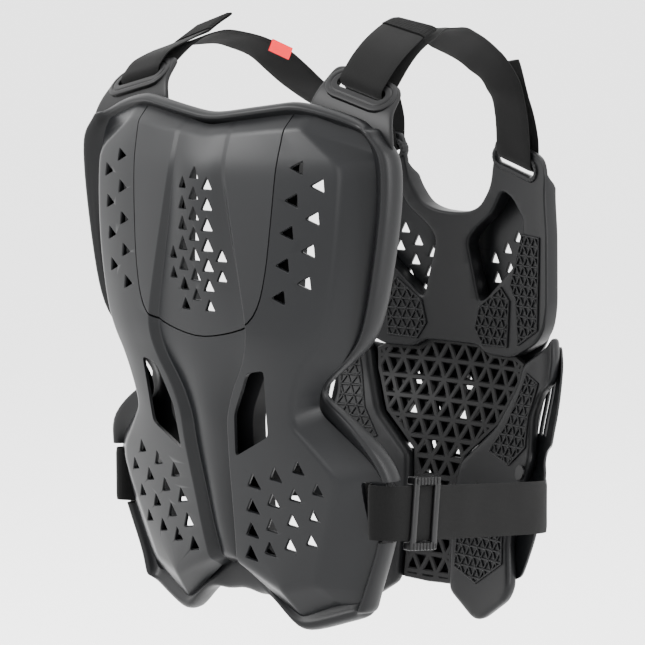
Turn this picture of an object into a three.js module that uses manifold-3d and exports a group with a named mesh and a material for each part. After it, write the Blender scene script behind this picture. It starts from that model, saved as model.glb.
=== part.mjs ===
// A roost deflector: a moulded chest and back guard worn over the shoulders on two straps.
// Millimetres. X points to the wearer's left, Y to the wearer's back, Z up.
// The origin is the middle between the two shoulder straps, at their undersides.
import * as THREE from 'three';
import { mergeVertices } from 'three/addons/utils/BufferGeometryUtils.js';
import Module from 'manifold-3d';

const wasm = await Module();
wasm.setup();

// Driving dimensions
const HALF_WIDTH = 150;          // half width over the side walls of the front shell
const FRONT_REACH = 460;         // shoulder line down to the lowest lip of the front shell
const FRONT_DEPTH = 145;         // body centre plane forward to the crest of the front shell
const SHELL_WALL = 3;            // wall of the hard front shell
const GROOVE_RUN = 5;            // width of the wall beside the sunken centre
const GROOVE_DEPTH = 10;         // deepest step between ridge and sunken centre
const FACE_CROWN = 2.5;          // swell of each side of the face
const SEAM_GAP = 0.8;            // open joint round the insert panel
const PIECE_GAP = 0.4;           // clearance between pieces that touch
const CENTRE_VENT = 10;          // width of a vent in the centre field
const WING_VENT = 12;            // width of a vent in the wings
const VENT_PITCH = 15.6;         // height from vent to vent in the centre field
const VENT_STEP = 13;            // width from column to column in the centre field
const PAD_WALL = 14;             // foam of the front liner
const PAD_TOP_WALL = 5;          // foam behind the upper lip, where the strap tabs pass
const PAD_STANDOFF = 13;         // air between shell and liner at the centre
const RIM_OUT = 9;               // how far the foam rim stands out past the shell
const RIM_LIP = 10;              // how far the foam rim stands forward of the wall's foot
const RIM_BACK = 12;             // how far the foam rim reaches behind the wall's foot
const RIM_RISE = 8;              // how far the foam stands above the upper lip
const RIM_HANG = 11;             // how far the foam hangs below the points of the lower lip
const HEM_DROP = 18;             // how far the plain hem hangs below the centre
const HEM_START = 3;             // how far the foam hangs where the hem ends
const BACK_DEPTH = 152;          // body centre plane back to the back liner at its middle
const BACK_BOW = 0.0012;         // how the back bends round the body, per millimetre
const WING_START = 104;          // where the side wings of the back begin to curl forward
const WING_CURL = 0.01;          // how strongly they curl, per millimetre
const BACK_HALF_WIDTH = 144;     // half width over the side wings of the back
const BACK_REACH = 480;          // shoulder line down to the tips of the back pads
const UPPER_FOAM = 15.5;         // foam of the upper back liner
const TAB_WALL = 5;              // thickness of the back strap tabs
const BACK_SHELL_WALL = 3;       // wall of the two hard back plates
const SPINE_RISE = 9;            // height of the raised spine on the upper back plate
const BACK_VENT = 10;            // width of a vent in the upper back plate
const PAD_HEIGHT = 12;           // foam of the side pads of the lower back
const MESH_WALL = 4;             // thickness of the lattice panel
const MESH_SET_BACK = 8;         // how deep the lattice lies below the side pads, on the plate
const LATTICE_PITCH = 18;        // side of one lattice triangle
const LATTICE_BAR = 4.6;         // width of a lattice bar
const STRAP_WIDTH = 42;          // shoulder strap
const STRAP_WALL = 2;            // thickness of every strap
const FRONT_SLOT_X = 119.5;      // middle of the front strap slot
const TAB_BEHIND = 5;            // root of the front strap tab behind the foot of the shell's top row
const SLOT_BEHIND = 12;          // middle of the front strap slot behind that root
const FRONT_SLOT_DROP = 42.5;    // below the shoulder line
const BACK_SLOT_X = 76;          // middle of the back strap slot
const BACK_SLOT_DROP = 112;
const CREST_Y = 8;               // where the strap is highest
const SLOT_LENGTH = 48;
const SLOT_HEIGHT = 9.5;
const SLOT_TILT = 0.25;          // slots fall outward by this slope
const FRONT_TAB_WALL = 4;
const BINDING = 10;               // width of the raised oval round a slot
const BINDING_RISE = 1.2;
const TIP_WALL = 3.8;            // thickness of the moulded end of the strap
const WAIST_STRAP_WIDTH = 42;
const WAIST_DROP = 360;          // shoulder line down to the middle of the waist strap, in front
const WAIST_FALL = 0.1;          // how the waist strap falls toward the back
const WAIST_SLOT_X = 133;        // where the strap comes out of the side wall
const BUCKLE_WIDTH = 30;
const BUCKLE_HEIGHT = 56;
const BUCKLE_WALL = 3;
const BUCKLE_BAR = 6;
const BUCKLE_AT = -0.31;         // middle of the buckle, as a share of BACK_DEPTH
const TAG_LENGTH = 20;
const TAG_DROP = 10;
const TAG_WALL = 1.2;
const TAG_AT = 0.17;             // middle of the tag, as a share of the way from crest to back slot
const RIVET_RADIUS = 6;
const RIVET_RISE = 2.4;
const SLIT_WIDTH = 3.4;          // upright slits in the side wings
const SLIT_STEP = 7;

const table = (columns, rows) =>
  rows.map((row) => Object.fromEntries(columns.map((column, i) => [column, row[i]])));
const mix = (a, b, t) => a + (b - a) * t;
const smooth = (t) => t * t * (3 - 2 * t);
const clamp01 = (t) => Math.min(1, Math.max(0, t));

// Solids from two sheets of points, and the cuts that work on them

function solid(points, faces) {
  const six = (f) => points[f[0]].dot(points[f[1]].clone().cross(points[f[2]]));
  const volume = faces.reduce((sum, f) => sum + six(f), 0);
  const outward = volume < 0 ? faces.map((f) => [f[0], f[2], f[1]]) : faces;
  return new wasm.Manifold(new wasm.Mesh({
    numProp: 3,
    vertProperties: new Float32Array(points.flatMap((p) => [p.x, p.y, p.z])),
    triVerts: new Uint32Array(outward.flat()),
  }));
}

function closeSheets(front, back) {
  const rows = front.length;
  const cols = front[0].length;
  const at = (side, r, c) => (side * rows + r) * cols + c;
  const faces = [];
  const quad = (a, b, c, d) => faces.push([a, b, c], [a, c, d]);
  for (let r = 0; r + 1 < rows; r++) {
    for (let c = 0; c + 1 < cols; c++) {
      if (2 * c + 1 < cols) {
        quad(at(0, r, c), at(0, r, c + 1), at(0, r + 1, c + 1), at(0, r + 1, c));
        quad(at(1, r, c), at(1, r + 1, c), at(1, r + 1, c + 1), at(1, r, c + 1));
      } else {
        quad(at(0, r, c + 1), at(0, r + 1, c + 1), at(0, r + 1, c), at(0, r, c));
        quad(at(1, r + 1, c), at(1, r + 1, c + 1), at(1, r, c + 1), at(1, r, c));
      }
    }
    quad(at(0, r + 1, 0), at(1, r + 1, 0), at(1, r, 0), at(0, r, 0));
    quad(at(0, r, cols - 1), at(1, r, cols - 1), at(1, r + 1, cols - 1), at(0, r + 1, cols - 1));
  }
  for (let c = 0; c + 1 < cols; c++) {
    quad(at(0, 0, c), at(1, 0, c), at(1, 0, c + 1), at(0, 0, c + 1));
    quad(at(0, rows - 1, c + 1), at(1, rows - 1, c + 1), at(1, rows - 1, c), at(0, rows - 1, c));
  }
  return solid([...front.flat(), ...back.flat()], faces);
}

function fromGeometry(geometry) {
  geometry.deleteAttribute('normal');
  geometry.deleteAttribute('uv');
  const merged = mergeVertices(geometry, 1e-4);
  const place = merged.attributes.position;
  const points = Array.from({ length: place.count }, (_, i) =>
    new THREE.Vector3().fromBufferAttribute(place, i));
  const index = merged.index.array;
  const faces = Array.from({ length: index.length / 3 }, (_, i) =>
    [index[3 * i], index[3 * i + 1], index[3 * i + 2]]);
  return solid(points, faces);
}

// A prism through the guard from front to back, over an outline in X and Z
function prism(outline, fromY, toY) {
  const shape = new THREE.Shape(outline.map(([x, z]) => new THREE.Vector2(x, z)));
  const geometry = new THREE.ExtrudeGeometry(shape, { depth: toY - fromY, bevelEnabled: false });
  return fromGeometry(geometry.rotateX(Math.PI / 2).translate(0, toY, 0));
}

const mirrored = (outline) => outline.map(([x, z]) => [-x, z]).reverse();
const wholeOutline = (half) => [...half, ...mirrored(half).filter(([x]) => x !== 0)];
const joinAll = (pieces) => pieces.reduce((sum, piece) => sum.add(piece));
const mirrorX = (piece) => piece.mirror([1, 0, 0]);

// Cuts a piece back until it stands PIECE_GAP clear of its neighbour
function clearOf(piece, neighbour, gap = PIECE_GAP) {
  const steps = [[gap, 0, 0], [-gap, 0, 0], [0, gap, 0], [0, -gap, 0], [0, 0, gap], [0, 0, -gap]];
  return steps.reduce((rest, step) => rest.subtract(neighbour.translate(step)), piece);
}

// The main body of a cut piece, without the crumbs that a cut leaves behind
function largest(piece) {
  const parts = piece.decompose();
  return parts.reduce((best, part) => (part.volume() > best.volume() ? part : best));
}

// Front shell: each row runs from the sunken centre over the ridge and face to the wall's foot.
// down and out are shares of FRONT_REACH and FRONT_DEPTH, at is a share of HALF_WIDTH.
// rim says how much of the foam rim a row carries, flare widens that rim in millimetres.
const FRONT_ROWS = table(
  ['c_down', 'c_out', 'r_at', 'r_out', 'groove', 'm_drop',
    'e_at', 'e_down', 'e_out', 'f_at', 'f_down', 'f_out', 'rim', 'flare'],
  [
    [0.155, 0.855, 0.20, 0.834, 0.00, 0.000, 0.633, 0.124, 0.748, 0.927, 0.161, 0.683, 1.0, 4],
    [0.170, 0.921, 0.20, 0.910, 0.00, 0.000, 0.613, 0.152, 0.834, 0.973, 0.183, 0.676, 1.0, 8],
    [0.222, 0.983, 0.20, 0.962, 0.05, 0.000, 0.867, 0.211, 0.817, 0.993, 0.213, 0.669, 1.0, 8],
    [0.283, 0.993, 0.233, 0.969, 0.30, 0.000, 0.867, 0.278, 0.831, 0.997, 0.280, 0.662, 1.0, 6],
    [0.380, 0.983, 0.293, 0.972, 0.50, 0.000, 0.847, 0.376, 0.838, 0.967, 0.376, 0.662, 1.0, 3],
    [0.478, 0.952, 0.353, 0.969, 0.60, 0.000, 0.790, 0.474, 0.841, 0.913, 0.472, 0.669, 0.9, 3],
    [0.511, 0.941, 0.347, 0.962, 0.65, 0.000, 0.720, 0.513, 0.859, 0.853, 0.517, 0.676, 0.6, 2],
    [0.548, 0.931, 0.307, 0.945, 0.70, 0.000, 0.640, 0.548, 0.872, 0.673, 0.570, 0.717, 0.1, 2],
    [0.593, 0.914, 0.220, 0.928, 0.75, 0.000, 0.587, 0.593, 0.862, 0.620, 0.598, 0.697, 0.0, 0],
    [0.641, 0.897, 0.167, 0.914, 0.80, 0.000, 0.553, 0.641, 0.845, 0.613, 0.624, 0.683, 0.2, 24],
    [0.685, 0.869, 0.160, 0.897, 0.83, 0.000, 0.660, 0.685, 0.790, 0.800, 0.674, 0.631, 0.8, 16],
    [0.730, 0.845, 0.147, 0.872, 0.86, 0.000, 0.780, 0.730, 0.738, 0.947, 0.717, 0.573, 0.8, 2],
    [0.783, 0.817, 0.133, 0.838, 0.90, 0.000, 0.730, 0.783, 0.724, 0.972, 0.754, 0.552, 0.8, 0],
    [0.837, 0.783, 0.120, 0.807, 0.95, 0.000, 0.663, 0.839, 0.707, 0.905, 0.837, 0.524, 0.8, 0],
    [0.887, 0.731, 0.100, 0.772, 1.00, 0.024, 0.573, 0.915, 0.683, 0.803, 0.911, 0.511, 0.8, 0],
    [0.898, 0.655, 0.113, 0.660, 1.00, 0.045, 0.620, 0.957, 0.530, 0.760, 0.945, 0.510, 0.9, 0],
  ]);
const MIDDLE_SHARE = 0.6;

const width = (share) => share * HALF_WIDTH;
const drop = (share) => -share * FRONT_REACH;
const ahead = (share) => -share * FRONT_DEPTH;

// The points of one row from the centre outward, on the outer face of the shell
function frontRow(row) {
  const ridgeX = width(row.r_at);
  const edgeX = width(row.e_at);
  const middleX = mix(ridgeX, edgeX, MIDDLE_SHARE);
  const level = (x) => drop(mix(row.c_down, row.e_down, Math.min(1, x / edgeX)));
  const ridgeY = ahead(row.r_out);
  const footY = ridgeY + row.groove * GROOVE_DEPTH;
  const middleY = mix(ridgeY, ahead(row.e_out), MIDDLE_SHARE) - FACE_CROWN;
  const crownX = ridgeX * 0.45;
  const grooveX = ridgeX - GROOVE_RUN;
  return [
    new THREE.Vector3(0, ahead(row.c_out), level(0)),
    new THREE.Vector3(crownX, mix(ahead(row.c_out), footY, 0.3), level(crownX)),
    new THREE.Vector3(grooveX, footY, level(grooveX)),
    new THREE.Vector3(ridgeX, ridgeY, level(ridgeX)),
    new THREE.Vector3(middleX, middleY, level(middleX) - row.m_drop * FRONT_REACH),
    new THREE.Vector3(edgeX, ahead(row.e_out), drop(row.e_down)),
    new THREE.Vector3(width(row.f_at), ahead(row.f_out), drop(row.f_down)),
  ];
}

const bothSides = (half) => [
  ...half.slice(1).reverse().map((p) => new THREE.Vector3(-p.x, p.y, p.z)), ...half];

// Unit normals of a sheet, pointing to the front
function sheetNormals(sheet) {
  return sheet.map((row, r) => row.map((_, c) => {
    const left = sheet[r][Math.max(0, c - 1)];
    const right = sheet[r][Math.min(row.length - 1, c + 1)];
    const above = sheet[Math.max(0, r - 1)][c];
    const below = sheet[Math.min(sheet.length - 1, r + 1)][c];
    const normal = right.clone().sub(left).cross(above.clone().sub(below)).normalize();
    return normal.y > 0 ? normal.negate() : normal;
  }));
}

const shellSheet = FRONT_ROWS.map((row) => bothSides(frontRow(row)));
const shellNormals = sheetNormals(shellSheet);

// Moves the border of a sheet outward in its own direction
function widen(sheet, grow) {
  const rows = sheet.length;
  const cols = sheet[0].length;
  const push = (p, neighbour) => p.clone().sub(neighbour).setLength(grow);
  return sheet.map((row, r) => row.map((p, c) => {
    const moved = p.clone();
    if (c === 0) moved.add(push(p, row[1]));
    if (c === cols - 1) moved.add(push(p, row[cols - 2]));
    if (r === 0) moved.add(push(p, sheet[1][c]));
    if (r === rows - 1) moved.add(push(p, sheet[rows - 2][c]));
    return moved;
  }));
}

// The shell without its openings, larger all round by the amount asked for
function shellSlab(grow) {
  const middle = grow > 0 ? widen(shellSheet, grow) : shellSheet;
  const shifted = (depth) => middle.map((row, r) =>
    row.map((p, c) => p.clone().addScaledVector(shellNormals[r][c], depth)));
  return closeSheets(shifted(grow), shifted(-SHELL_WALL - grow));
}
const shellBlank = shellSlab(0);

// Triangles for vents: up is the plain one, side leans outward in the upper wings
const VENT_UP = [[-0.5, -0.45], [0.5, -0.45], [0, 0.5]];
const VENT_LEAN = [[-0.6, -0.05], [0.38, -0.42], [0.28, 0.45]];
const VENT_LOW = [[-0.5, -0.3], [0.5, -0.5], [0.02, 0.55]];
const ventAt = (kind, size, x, z) => kind.map(([u, v]) => [x + u * size, z + v * size]);

const FIELD_TOP = -107;          // height of the first vent of the centre column
const centreVents = [];
for (let n = 0; n < 7; n++) {
  const size = CENTRE_VENT * (0.86 + 0.28 * Math.sin((Math.PI * (n + 1)) / 8));
  centreVents.push(ventAt(VENT_UP, size, 0, FIELD_TOP - n * VENT_PITCH));
  for (const side of [-1, 1]) {
    const z = FIELD_TOP - (n + 0.5) * VENT_PITCH;
    centreVents.push(ventAt(VENT_UP, size, side * VENT_STEP, z));
    if (n === 4 || n === 5) {
      centreVents.push(ventAt(VENT_UP, size * 0.9, side * VENT_STEP * 2, z + VENT_PITCH / 2));
    }
  }
}

// Upper wing vents in two columns that converge downward
const WING_TOP = -99;            // height of the first vent of the inner column
const WING_PITCH = 24.6;
const upperWingVents = [];
for (let n = 0; n < 5; n++) {
  const lean = n * 3.3;
  upperWingVents.push(ventAt(VENT_LEAN, WING_VENT, 96 - lean, WING_TOP - n * WING_PITCH));
  if (n < 4) {
    const z = WING_TOP - (n + 0.52) * WING_PITCH;
    upperWingVents.push(ventAt(VENT_LEAN, WING_VENT, 114 - lean, z));
  }
}

// Lower wing vents in slanted rows that shorten upward
const LOWER_ROWS = table(['first', 'step', 'top', 'fall', 'count'], [
  [43, 21, -343, -7, 3],
  [38.5, 20.3, -363, -6, 4],
  [35, 19.6, -382.5, -5.5, 4],
  [31.5, 19, -401, -5, 4],
]);
const lowerWingVents = LOWER_ROWS.flatMap((row) =>
  Array.from({ length: row.count }, (_, n) =>
    ventAt(VENT_LOW, WING_VENT * (1 - 0.06 * n), row.first + n * row.step, row.top - n * row.fall)));

// The long kite-shaped vent at the waist
const KITE = [[66, -254], [49.5, -257.5], [33, -290], [29.5, -324], [62.5, -306]];

const SEAM = [[80, 10], [79, -66], [77, -95], [75, -130], [71, -175], [65, -205],
  [54, -221], [30, -229], [0, -234]];
const seamOutline = (grow) => wholeOutline(
  SEAM.map(([x, z], i) => [x === 0 ? 0 : x + grow, i > 4 ? z - grow : z]).reverse());

const frontFar = -FRONT_DEPTH - 40;
const frontNear = -FRONT_DEPTH * 0.35;
const drillFront = (outlines) =>
  joinAll([...outlines, ...outlines.map(mirrored)].map((o) => prism(o, frontFar, frontNear)));

const insertPanel = largest(shellBlank
  .intersect(prism(seamOutline(-SEAM_GAP / 2), frontFar, frontNear))
  .subtract(joinAll(centreVents.map((o) => prism(o, frontFar, frontNear)))));
const WAIST_SLOT = { x: WAIST_SLOT_X, z: -WAIST_DROP };
const waistOpening = [
  [WAIST_SLOT.x - 3.2, WAIST_SLOT.z + WAIST_STRAP_WIDTH / 2 + 2],
  [WAIST_SLOT.x + 3.2, WAIST_SLOT.z + WAIST_STRAP_WIDTH / 2 + 2],
  [WAIST_SLOT.x + 3.2, WAIST_SLOT.z - WAIST_STRAP_WIDTH / 2 - 2],
  [WAIST_SLOT.x - 3.2, WAIST_SLOT.z - WAIST_STRAP_WIDTH / 2 - 2],
];
const frontShell = largest(shellBlank
  .subtract(prism(seamOutline(SEAM_GAP / 2), frontFar, frontNear))
  .subtract(drillFront([...upperWingVents, ...lowerWingVents, KITE, waistOpening])));

// Height of a row at x, read off its points
function heightAt(points, x) {
  const next = Math.max(1, points.findIndex((p) => p.x >= x - 1e-6));
  const a = points[next - 1];
  const b = points[next];
  return mix(a.z, b.z, clamp01((x - a.x) / (b.x - a.x)));
}

// Front liner: foam behind the shell, with a rounded rim that stands out all round it
const LINER_SHARES = [0, 0.3, 0.52, 0.86];
const RIM_START = LINER_SHARES.length + 1;
function linerRow(row, r) {
  const top = r === 0;
  const bottom = r === FRONT_ROWS.length - 1;
  const points = frontRow(row);
  const foot = points[6];
  const rim = row.rim;
  const padY = Math.max(ahead(row.c_out) + SHELL_WALL + PAD_STANDOFF, foot.y - 26);
  const centreY = top || bottom ? ahead(row.c_out) + SHELL_WALL + PIECE_GAP : padY;
  const wall = mix(PAD_TOP_WALL, PAD_WALL, clamp01((r - 0.5) / 2));
  const valley = foot.y + SHELL_WALL + 0.3;
  const front = LINER_SHARES.map((t) =>
    new THREE.Vector3(foot.x * t, mix(centreY, valley, t * t), heightAt(points, foot.x * t)));
  const edgeX = foot.x + row.flare;
  front.push(new THREE.Vector3(foot.x + mix(-9, -1, rim), valley, foot.z));
  front.push(new THREE.Vector3(edgeX + mix(-7, 3.2, rim), foot.y - mix(-4, RIM_LIP, rim), foot.z));
  front.push(new THREE.Vector3(edgeX + mix(-5, RIM_OUT - 1, rim), foot.y + mix(5, -5, rim), foot.z));
  front.push(new THREE.Vector3(edgeX + mix(-4, RIM_OUT, rim), foot.y + mix(8, 4, rim), foot.z));
  const behind = foot.y + Math.min(RIM_BACK, SHELL_WALL + wall);
  const back = front.map((p, c) => {
    const x = edgeX + mix(-7, RIM_OUT - 3, rim) - (front.length - 1 - c) * 2;
    return c < RIM_START ? new THREE.Vector3(p.x, p.y + wall, p.z) : new THREE.Vector3(x, behind, p.z);
  });
  return { front, back };
}

// Rows that carry the rim over the upper and lower lip. Below, the foam hangs under both points
// of the lip, and a plain hem closes the middle.
function lipRows(section, up) {
  const outerShare = 0.6;
  const reach = (c) => {
    if (c >= RIM_START) return (up ? RIM_RISE : RIM_HANG) * outerShare;
    return up ? RIM_RISE : [HEM_DROP, HEM_START, RIM_HANG, RIM_HANG, RIM_HANG][c];
  };
  const shift = (points, share, dy, pull) => points.map((p, c) => {
    const outer = c >= RIM_START;
    const forward = outer || (!up && c === 0) ? 0 : dy;
    const dz = reach(c) * share * (up ? 1 : -1);
    return new THREE.Vector3(p.x - (outer ? pull : 0), p.y - forward, p.z + dz);
  });
  const { front, back } = section;
  const lip = SHELL_WALL + 5;
  const crest = { front: shift(front, 0.4, lip, 1), back: shift(back, 0.4, 0, 1) };
  const brow = { front: shift(front, 1, 3, 4), back: shift(back, 1, 0, 4) };
  return up ? [brow, crest] : [crest, brow];
}

const linerRows = FRONT_ROWS.map(linerRow);
const firstRow = linerRows[0];
const lastRow = linerRows[linerRows.length - 1];
const linerSections = [...lipRows(firstRow, true), ...linerRows, ...lipRows(lastRow, false)];
const linerBlank = closeSheets(
  linerSections.map((s) => bothSides(s.front)), linerSections.map((s) => bothSides(s.back)));

// Windows in the foam behind each field of vents and behind the waist vents
const LINER_WINDOWS = [
  [[84, -90], [104, -92], [119, -110], [116, -188], [104, -204], [76, -202], [80, -150]],
  [[34, -332], [84, -330], [104, -352], [92, -396], [80, -402], [30, -404]],
];
const CENTRE_WINDOW = wholeOutline([[0, -224], [22, -218], [36, -180], [30, -100], [0, -96]]);
const windowCuts = drillFront([...LINER_WINDOWS, KITE]).add(prism(CENTRE_WINDOW, frontFar, 0));
const slotPassage = prism(boxOutline(WAIST_SLOT.x + 11, WAIST_SLOT.z, 50, WAIST_STRAP_WIDTH + 6),
  frontFar, 0);
const frontLiner = largest(linerBlank.subtract(windowCuts)
  .subtract(slotPassage.add(mirrorX(slotPassage)))
  .subtract(shellSlab(PIECE_GAP)));

function boxOutline(x, z, w, h) {
  return [[x - w / 2, z - h / 2], [x + w / 2, z - h / 2], [x + w / 2, z + h / 2], [x - w / 2, z + h / 2]];
}

// An oval slot outline: length along the first axis, height along the second
function ovalOutline(length, height, steps = 4) {
  const r = height / 2;
  const outline = [];
  for (const end of [1, -1]) {
    for (let n = 0; n <= steps; n++) {
      const angle = -Math.PI / 2 + (Math.PI * n) / steps;
      outline.push([end * (length / 2 - r + r * Math.cos(angle)), end * r * Math.sin(angle)]);
    }
  }
  return outline;
}

// A flat plate over an outline, laid with its normal, its long side and its middle
function plate(outline, wall, middle, along, normal) {
  const shape = new THREE.Shape(outline.map(([u, v]) => new THREE.Vector2(u, v)));
  const geometry = new THREE.ExtrudeGeometry(shape, { depth: wall, bevelEnabled: false });
  const up = normal.clone().cross(along).normalize();
  const basis = new THREE.Matrix4().makeBasis(along.clone().normalize(), up, normal.clone().normalize());
  return fromGeometry(geometry.translate(0, 0, -wall / 2).applyMatrix4(basis)
    .translate(middle.x, middle.y, middle.z));
}

// Front strap tabs: a bent tongue that rises from behind the foam rim and holds the slot
const FRONT_TAB = table(['behind', 'drop', 'width'], [
  [0, 76, 88], [0, 63, 85], [3, 54, 78], [7, 47.5, 73], [17, 37.5, 70], [23, 31.2, 66],
]);
const tabRootY = ahead(FRONT_ROWS[0].f_out) + TAB_BEHIND;
const frontSlotY = tabRootY + SLOT_BEHIND;
const tabDirection = new THREE.Vector3(0, 0.72, 0.69).normalize();
const tabAcross = new THREE.Vector3(1, 0, -SLOT_TILT).normalize();
const tabNormal = tabAcross.clone().cross(tabDirection).normalize();
const tabMiddle = new THREE.Vector3(FRONT_SLOT_X, frontSlotY, -FRONT_SLOT_DROP);
const tabBar = tabMiddle.clone().addScaledVector(tabDirection, SLOT_HEIGHT / 2);
const TAB_SHARES = [-0.5, -0.43, -0.2, 0, 0.2, 0.43, 0.5];

function frontTab() {
  const sheet = (side) => FRONT_TAB.map((p, r) => TAB_SHARES.map((share, c) => {
    const corner = c === 0 || c === TAB_SHARES.length - 1;
    const lift = corner && r === FRONT_TAB.length - 1 ? 4 : 0;
    const x = share * p.width;
    const y = tabRootY + p.behind - lift;
    const base = new THREE.Vector3(FRONT_SLOT_X + x, y, -p.drop - x * SLOT_TILT - lift);
    const lean = r < 2 ? new THREE.Vector3(0, -1, 0) : tabNormal;
    return base.addScaledVector(lean, side * FRONT_TAB_WALL / 2);
  }));
  const opening = plate(ovalOutline(SLOT_LENGTH, SLOT_HEIGHT), 40, tabMiddle, tabAcross, tabNormal);
  const ring = plate(ovalOutline(SLOT_LENGTH + 2 * BINDING, SLOT_HEIGHT + 2 * BINDING),
    BINDING_RISE * 2, tabMiddle.clone().addScaledVector(tabNormal, FRONT_TAB_WALL / 2),
    tabAcross, tabNormal);
  const tongue = closeSheets(sheet(1), sheet(-1)).add(ring).subtract(opening);
  return largest(clearOf(clearOf(tongue, frontLiner), mirrorX(frontLiner)));
}
const frontTabLeft = frontTab();

// Back: the surface that lies against the body, bent round it and drawn in at the waist
const BACK_PROFILE = table(['down', 'out'], [
  [0.146, 0.985], [0.33, 1.0], [0.545, 1.005], [0.603, 0.982], [0.671, 0.92], [0.744, 0.868],
  [0.791, 0.842], [0.866, 0.802], [1.0, 0.765],
]);

function backY(x, z) {
  const share = -z / BACK_REACH;
  const last = BACK_PROFILE.length - 1;
  const next = Math.min(last, Math.max(1, BACK_PROFILE.findIndex((p) => p.down > share)));
  const upper = BACK_PROFILE[next - 1];
  const lower = share >= 1 ? BACK_PROFILE[last] : BACK_PROFILE[next];
  const t = clamp01((share - upper.down) / Math.max(1e-6, lower.down - upper.down));
  const beyond = Math.max(0, Math.abs(x) - WING_START);
  return BACK_DEPTH * mix(upper.out, lower.out, t) - BACK_BOW * x * x - WING_CURL * beyond * beyond;
}

// A bent plate between two depths behind the body surface, over a whole outline
function backPlate(outline, near, far, xs, zs) {
  const sheet = (depth) => zs.map((z) => xs.map((x) => {
    const behind = typeof depth === 'function' ? depth(x, z) : depth;
    return new THREE.Vector3(x, backY(x, z) + behind, z);
  }));
  const blank = closeSheets(sheet(near), sheet(far));
  return largest(blank.intersect(prism(outline, 0, BACK_DEPTH * 2)));
}

const spread = (from, to, count) =>
  Array.from({ length: count + 1 }, (_, n) => mix(from, to, n / count));
const wingXs = [WING_START, (WING_START + BACK_HALF_WIDTH) / 2, BACK_HALF_WIDTH + 2];
const backXs = [...wingXs.map((x) => -x).reverse(), ...spread(-84, 84, 8), ...wingXs];
const drillBack = (outlines) =>
  joinAll([...outlines, ...outlines.map(mirrored)].map((o) => prism(o, 60, BACK_DEPTH * 2)));

const UPPER_LINER = [[0, -156], [17, -155], [31, -150], [43, -134], [48, -116], [50, -97],
  [56, -92], [97, -101], [110, -106], [115, -116], [114, -137], [115, -149], [117, -165],
  [117, -224], [112, -242], [101, -255], [70, -270], [39, -270], [29, -263], [0, -263]];
const CUT_OUT = [[59, -135], [70, -140], [84, -156], [84, -178], [71, -196], [37, -225],
  [30, -227], [17, -179], [25, -169], [46, -154], [55, -140]];

const TAB_LEVEL = -124;          // the liner thins above this height to the strap tabs
const upperZs = [-84, -104, TAB_LEVEL, TAB_LEVEL - 7, -150, -175, -200, -225, -250, -276];

// Where a small piece sits on the body side of the back: its place, its long side and its normal
function backSeat(x, z, behind, tilt) {
  const run = (dx, dz) => new THREE.Vector3(dx, backY(x + dx, z + dz) - backY(x, z), dz);
  const middle = new THREE.Vector3(x, backY(x, z) + behind, z);
  const along = run(1, -tilt).normalize();
  return { middle, along, normal: run(0, 1).cross(along).negate().normalize() };
}
const backSlot = backSeat(BACK_SLOT_X, -BACK_SLOT_DROP, TAB_WALL / 2, SLOT_TILT);

function upperLiner() {
  const foam = (x, z) => (z > TAB_LEVEL - 1 ? TAB_WALL : UPPER_FOAM);
  const pad = backPlate(wholeOutline(UPPER_LINER), 0, foam, backXs, upperZs);
  const opening = plate(ovalOutline(SLOT_LENGTH, SLOT_HEIGHT), 40, backSlot.middle,
    backSlot.along, backSlot.normal);
  const openings = opening.add(mirrorX(opening));
  return largest(pad.subtract(drillBack([CUT_OUT])).subtract(openings));
}
const backUpperLiner = upperLiner();

// Upper back plate: the hard outer skin over the foam, with a raised spine and vents
const UPPER_PLATE = [[0, -164], [30, -158], [52, -138], [84, -132], [102, -142], [109, -160],
  [110, -220], [106, -240], [94, -262], [64, -284], [0, -288]];
const BACK_VENTS = [[62, -173], [49, -183], [34, -192], [67, -188], [52, -199], [37, -208],
  [57, -212], [42, -223]];
const spine = (x) => SPINE_RISE * smooth(clamp01(1 - Math.abs(x) / 34));
const lowerFace = PAD_HEIGHT + PIECE_GAP;
const upperFace = lowerFace + BACK_SHELL_WALL + 2 * PIECE_GAP;
const plateXs = [-112, -98, -70, -34, -23, -12, 0, 12, 23, 34, 70, 98, 112];
const backUpperShell = backPlate(wholeOutline(UPPER_PLATE), (x) => upperFace + spine(x),
  (x) => upperFace + BACK_SHELL_WALL + spine(x), plateXs, [-128, -160, -190, -220, -250, -276, -292])
  .subtract(drillBack(BACK_VENTS.map(([x, z]) => ventAt(VENT_UP, BACK_VENT, x, z))));

// Lower back plate with its side wings
const LOWER_PLATE = [[0, -273], [60, -274], [104, -268], [126, -254], [133, -270], [135, -290],
  [144, -312], [143, -330], [128, -337], [125, -346], [134, -356], [131, -385], [124, -407],
  [106, -441], [64, -457], [0, -459]];
const lowerZs = [-244, -270, -290, -315, -345, -375, -405, -435, -482];
const slits = [-1, 0, 1].map((n) => boxOutline(113 + n * SLIT_STEP, -304, SLIT_WIDTH, 46));
const backVentRows = [];
for (let row = 0; row < 4; row++) {
  for (const x of [14, 42 - row * 3]) {
    backVentRows.push(ventAt(VENT_UP, BACK_VENT * 1.2, x, -296 - row * 26));
  }
}
const backLowerShell = largest(backPlate(wholeOutline(LOWER_PLATE), lowerFace,
  lowerFace + BACK_SHELL_WALL, backXs, lowerZs)
  .subtract(drillBack([...slits, ...backVentRows])));

// Side pads of the lower back, and the lattice panel sunk between them
const SIDE_PAD = [[84, -273], [113, -256.5], [127, -246], [132, -262], [128, -284], [112, -294],
  [108, -313], [115, -345], [110, -362], [101, -395], [99, -413], [104, -448], [98, -460],
  [68, -480], [58, -480], [29, -461], [25, -380], [28, -357], [64, -325], [80, -290]];
const padXs = backXs.filter((x) => x > 20);
const sidePad = backPlate(SIDE_PAD, 0, PAD_HEIGHT, padXs, lowerZs);

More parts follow.
